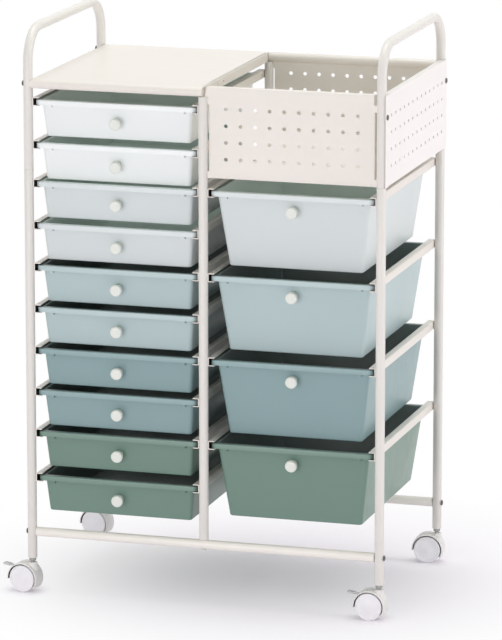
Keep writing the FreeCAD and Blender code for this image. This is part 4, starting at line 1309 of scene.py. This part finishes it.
class StageSettings(bpy.types.PropertyGroup):
    """Camera and light of the studio."""

    azimuth: angle("Azimuth", "Camera to the right of the cart's front", 16.708)
    elevation: angle("Elevation", "Camera above the horizon", 12.3305)
    distance: length("Distance", "Camera from its target", 8166.6)
    target_x: length("Target X", "Target to the right of the origin", 45.27)
    target_z: length("Target Z", "Target above the floor", 460.8)
    lens: FloatProperty(name="Lens", description="Focal length on a 36 mm frame", default=265.6,
                        unit="CAMERA")
    zenith: amount("Zenith", "Strength of the sky overhead", 0.55)
    horizon: amount("Horizon", "Strength of the sky at the horizon", 0.4)
    top: amount("Top light", "Power of the lamp overhead, in watts", 38)
    front: amount("Front light", "Power of the low lamp in front, in watts", 52)
    side: amount("Side light", "Power of the lamp at the right, in watts", 35)
    floor_glow: amount("Floor glow", "White share of the floor under the cart", 0.2)


class CART_OT_stage(bpy.types.Operator):
    """Build the studio floor, lamps, sky and camera"""

    bl_idname = "cart.stage"
    bl_label = "Stage"

    def execute(self, context):
        settings = context.scene.cart_stage
        self.floor(context, settings)
        for name, (at, size) in LAMPS.items():
            self.lamp(f"{name}_lamp", getattr(settings, name), at, size)
        self.sky(context, settings)
        self.camera(context, settings)
        context.scene.view_settings.view_transform = "Standard"
        return {"FINISHED"}

    def white_share(self, tree):
        """Share that is 1 for rays from the camera, from gloss and through glass."""
        rays = tree.nodes.new("ShaderNodeLightPath").outputs
        share = rays["Is Camera Ray"]
        for ray in ("Is Glossy Ray", "Is Transmission Ray"):
            share = add_node(tree, "Math", {0: share, 1: rays[ray]}, operation="MAXIMUM")
        return share

    def fade(self, tree, centre, reach, least):
        """Share that grows from the least at a centre to 1 at its reach."""
        place = add_node(tree, "TexCoord", {}, "Object")
        away = add_node(tree, "VectorMath", {0: place, 1: centre}, "Value", operation="DISTANCE")
        limits = {"From Max": reach, "To Min": least}
        return add_node(tree, "MapRange", {"Value": away, **limits}, "Result",
                        interpolation_type="SMOOTHSTEP")

    def floor(self, context, settings):
        """Wide pale floor that keeps the shadow near the cart and turns white further out."""
        bm = bmesh.new()
        bmesh.ops.create_circle(bm, cap_ends=True, segments=FLOOR_STEPS, radius=FLOOR_RADIUS)
        mesh = bpy.data.meshes.new("studio_floor")
        bm.to_mesh(mesh)
        bm.free()
        floor = bpy.data.objects.new("studio_floor", mesh)
        context.scene.collection.objects.link(floor)
        material, tree, shader = material_nodes("studio_floor")
        shader.inputs["Base Color"].default_value = (*context.scene.cart_colours.floor, 1)
        shader.inputs["Roughness"].default_value = FLOOR_ROUGHNESS
        shader.inputs["Specular IOR Level"].default_value = FLOOR_GLOSS
        shades = [(SHADE_MIDDLE, SHADE_REACH)]
        for caster in map(Caster, CORNERS):
            contact = caster.place @ Vector((-caster.trail, 0, 0))
            shades.append((contact, CONTACT_REACH * caster.radius))
        share = self.white_share(tree)
        for centre, reach in shades:
            fade = self.fade(tree, centre, reach, settings.floor_glow)
            share = add_node(tree, "Math", {0: share, 1: fade}, operation="MULTIPLY")
        white = add_node(tree, "Emission", {})
        mix = add_node(tree, "MixShader", {"Fac": share, 1: shader.outputs["BSDF"], 2: white})
        tree.links.new(mix, tree.nodes["Material Output"].inputs["Surface"])
        mesh.materials.append(material)

    def lamp(self, name, power, at, size):
        """Soft square lamp that looks at the cart."""
        light = bpy.data.lights.new(name, "AREA")
        light.energy = power
        light.size = size
        lamp = bpy.data.objects.new(name, light)
        lamp.matrix_world = axis_place(at, LAMP_AIM - Vector(at), "-Z")
        bpy.context.scene.collection.objects.link(lamp)

    def sky(self, context, settings):
        """White surround that lights the cart from above and shows as plain white."""
        world = bpy.data.worlds.new("studio_sky")
        world.use_nodes = True
        context.scene.world = world
        tree = world.node_tree
        background = tree.nodes["Background"]
        background.inputs["Color"].default_value = (1, 1, 1, 1)
        place = add_node(tree, "TexCoord", {}, "Object")
        height = add_node(tree, "SeparateXYZ", {"Vector": place}, "Z")
        limits = {"To Min": settings.horizon, "To Max": settings.zenith}
        level = add_node(tree, "MapRange", {"Value": height, **limits}, "Result")
        white = self.white_share(tree)
        level = add_node(tree, "MapRange", {"Value": white, "To Min": level}, "Result")
        tree.links.new(level, background.inputs["Strength"])

    def camera(self, context, settings):
        """Camera far off at the front right, above the cart."""
        camera = bpy.data.cameras.new("studio_camera")
        camera.sensor_width = SENSOR_MM
        camera.lens = settings.lens
        camera.clip_end = FAR_CLIP
        seat = bpy.data.objects.new("studio_camera", camera)
        back = Vector((math.sin(settings.azimuth) * math.cos(settings.elevation),
                       -math.cos(settings.azimuth) * math.cos(settings.elevation),
                       math.sin(settings.elevation)))
        at = Vector((settings.target_x, 0, settings.target_z)) + back * settings.distance
        seat.matrix_world = axis_place(at, -back, "-Z")
        context.scene.collection.objects.link(seat)
        context.scene.camera = seat


OPERATORS = (
    CART_OT_handles,
    CART_OT_posts,
    CART_OT_rails,
    CART_OT_top_shelf,
    CART_OT_basket,
    CART_OT_runners,
    CART_OT_frame_bolts,
    CART_OT_drawers,
    CART_OT_knobs,
    CART_OT_caster_stems,
    CART_OT_caster_hoods,
    CART_OT_caster_wheels,
    CART_OT_brake_levers,
    CART_OT_stage,
)
SETTINGS = {
    "cart_sizes": CartSizes,
    "drawer_sizes": DrawerSizes,
    "caster_sizes": CasterSizes,
    "cart_colours": CartColours,
    "cart_stage": StageSettings,
}


class CART_PT_panel(bpy.types.Panel):
    """Sidebar panel of the cart's builders and settings"""

    bl_idname = "CART_PT_panel"
    bl_label = "Rolling Drawer Cart"
    bl_space_type = "VIEW_3D"
    bl_region_type = "UI"
    bl_category = "Cart"

    def draw(self, context):
        for operator in OPERATORS:
            self.layout.operator(operator.bl_idname)
        for name, group in SETTINGS.items():
            box = self.layout.box()
            box.label(text=group.__doc__)
            for setting in group.__annotations__:
                box.prop(getattr(context.scene, name), setting)


def register():
    for kind in (*SETTINGS.values(), *OPERATORS, CART_PT_panel):
        bpy.utils.register_class(kind)
    for name, group in SETTINGS.items():
        setattr(bpy.types.Scene, name, PointerProperty(type=group))


def unregister():
    for name in SETTINGS:
        delattr(bpy.types.Scene, name)
    for kind in reversed((*SETTINGS.values(), *OPERATORS, CART_PT_panel)):
        bpy.utils.unregister_class(kind)


def main():
    """Builds every piece and the stage."""
    register()
    for operator in OPERATORS:
        group, name = operator.bl_idname.split(".")
        getattr(getattr(bpy.ops, group), name)()


if __name__ == "__main__":
    main()
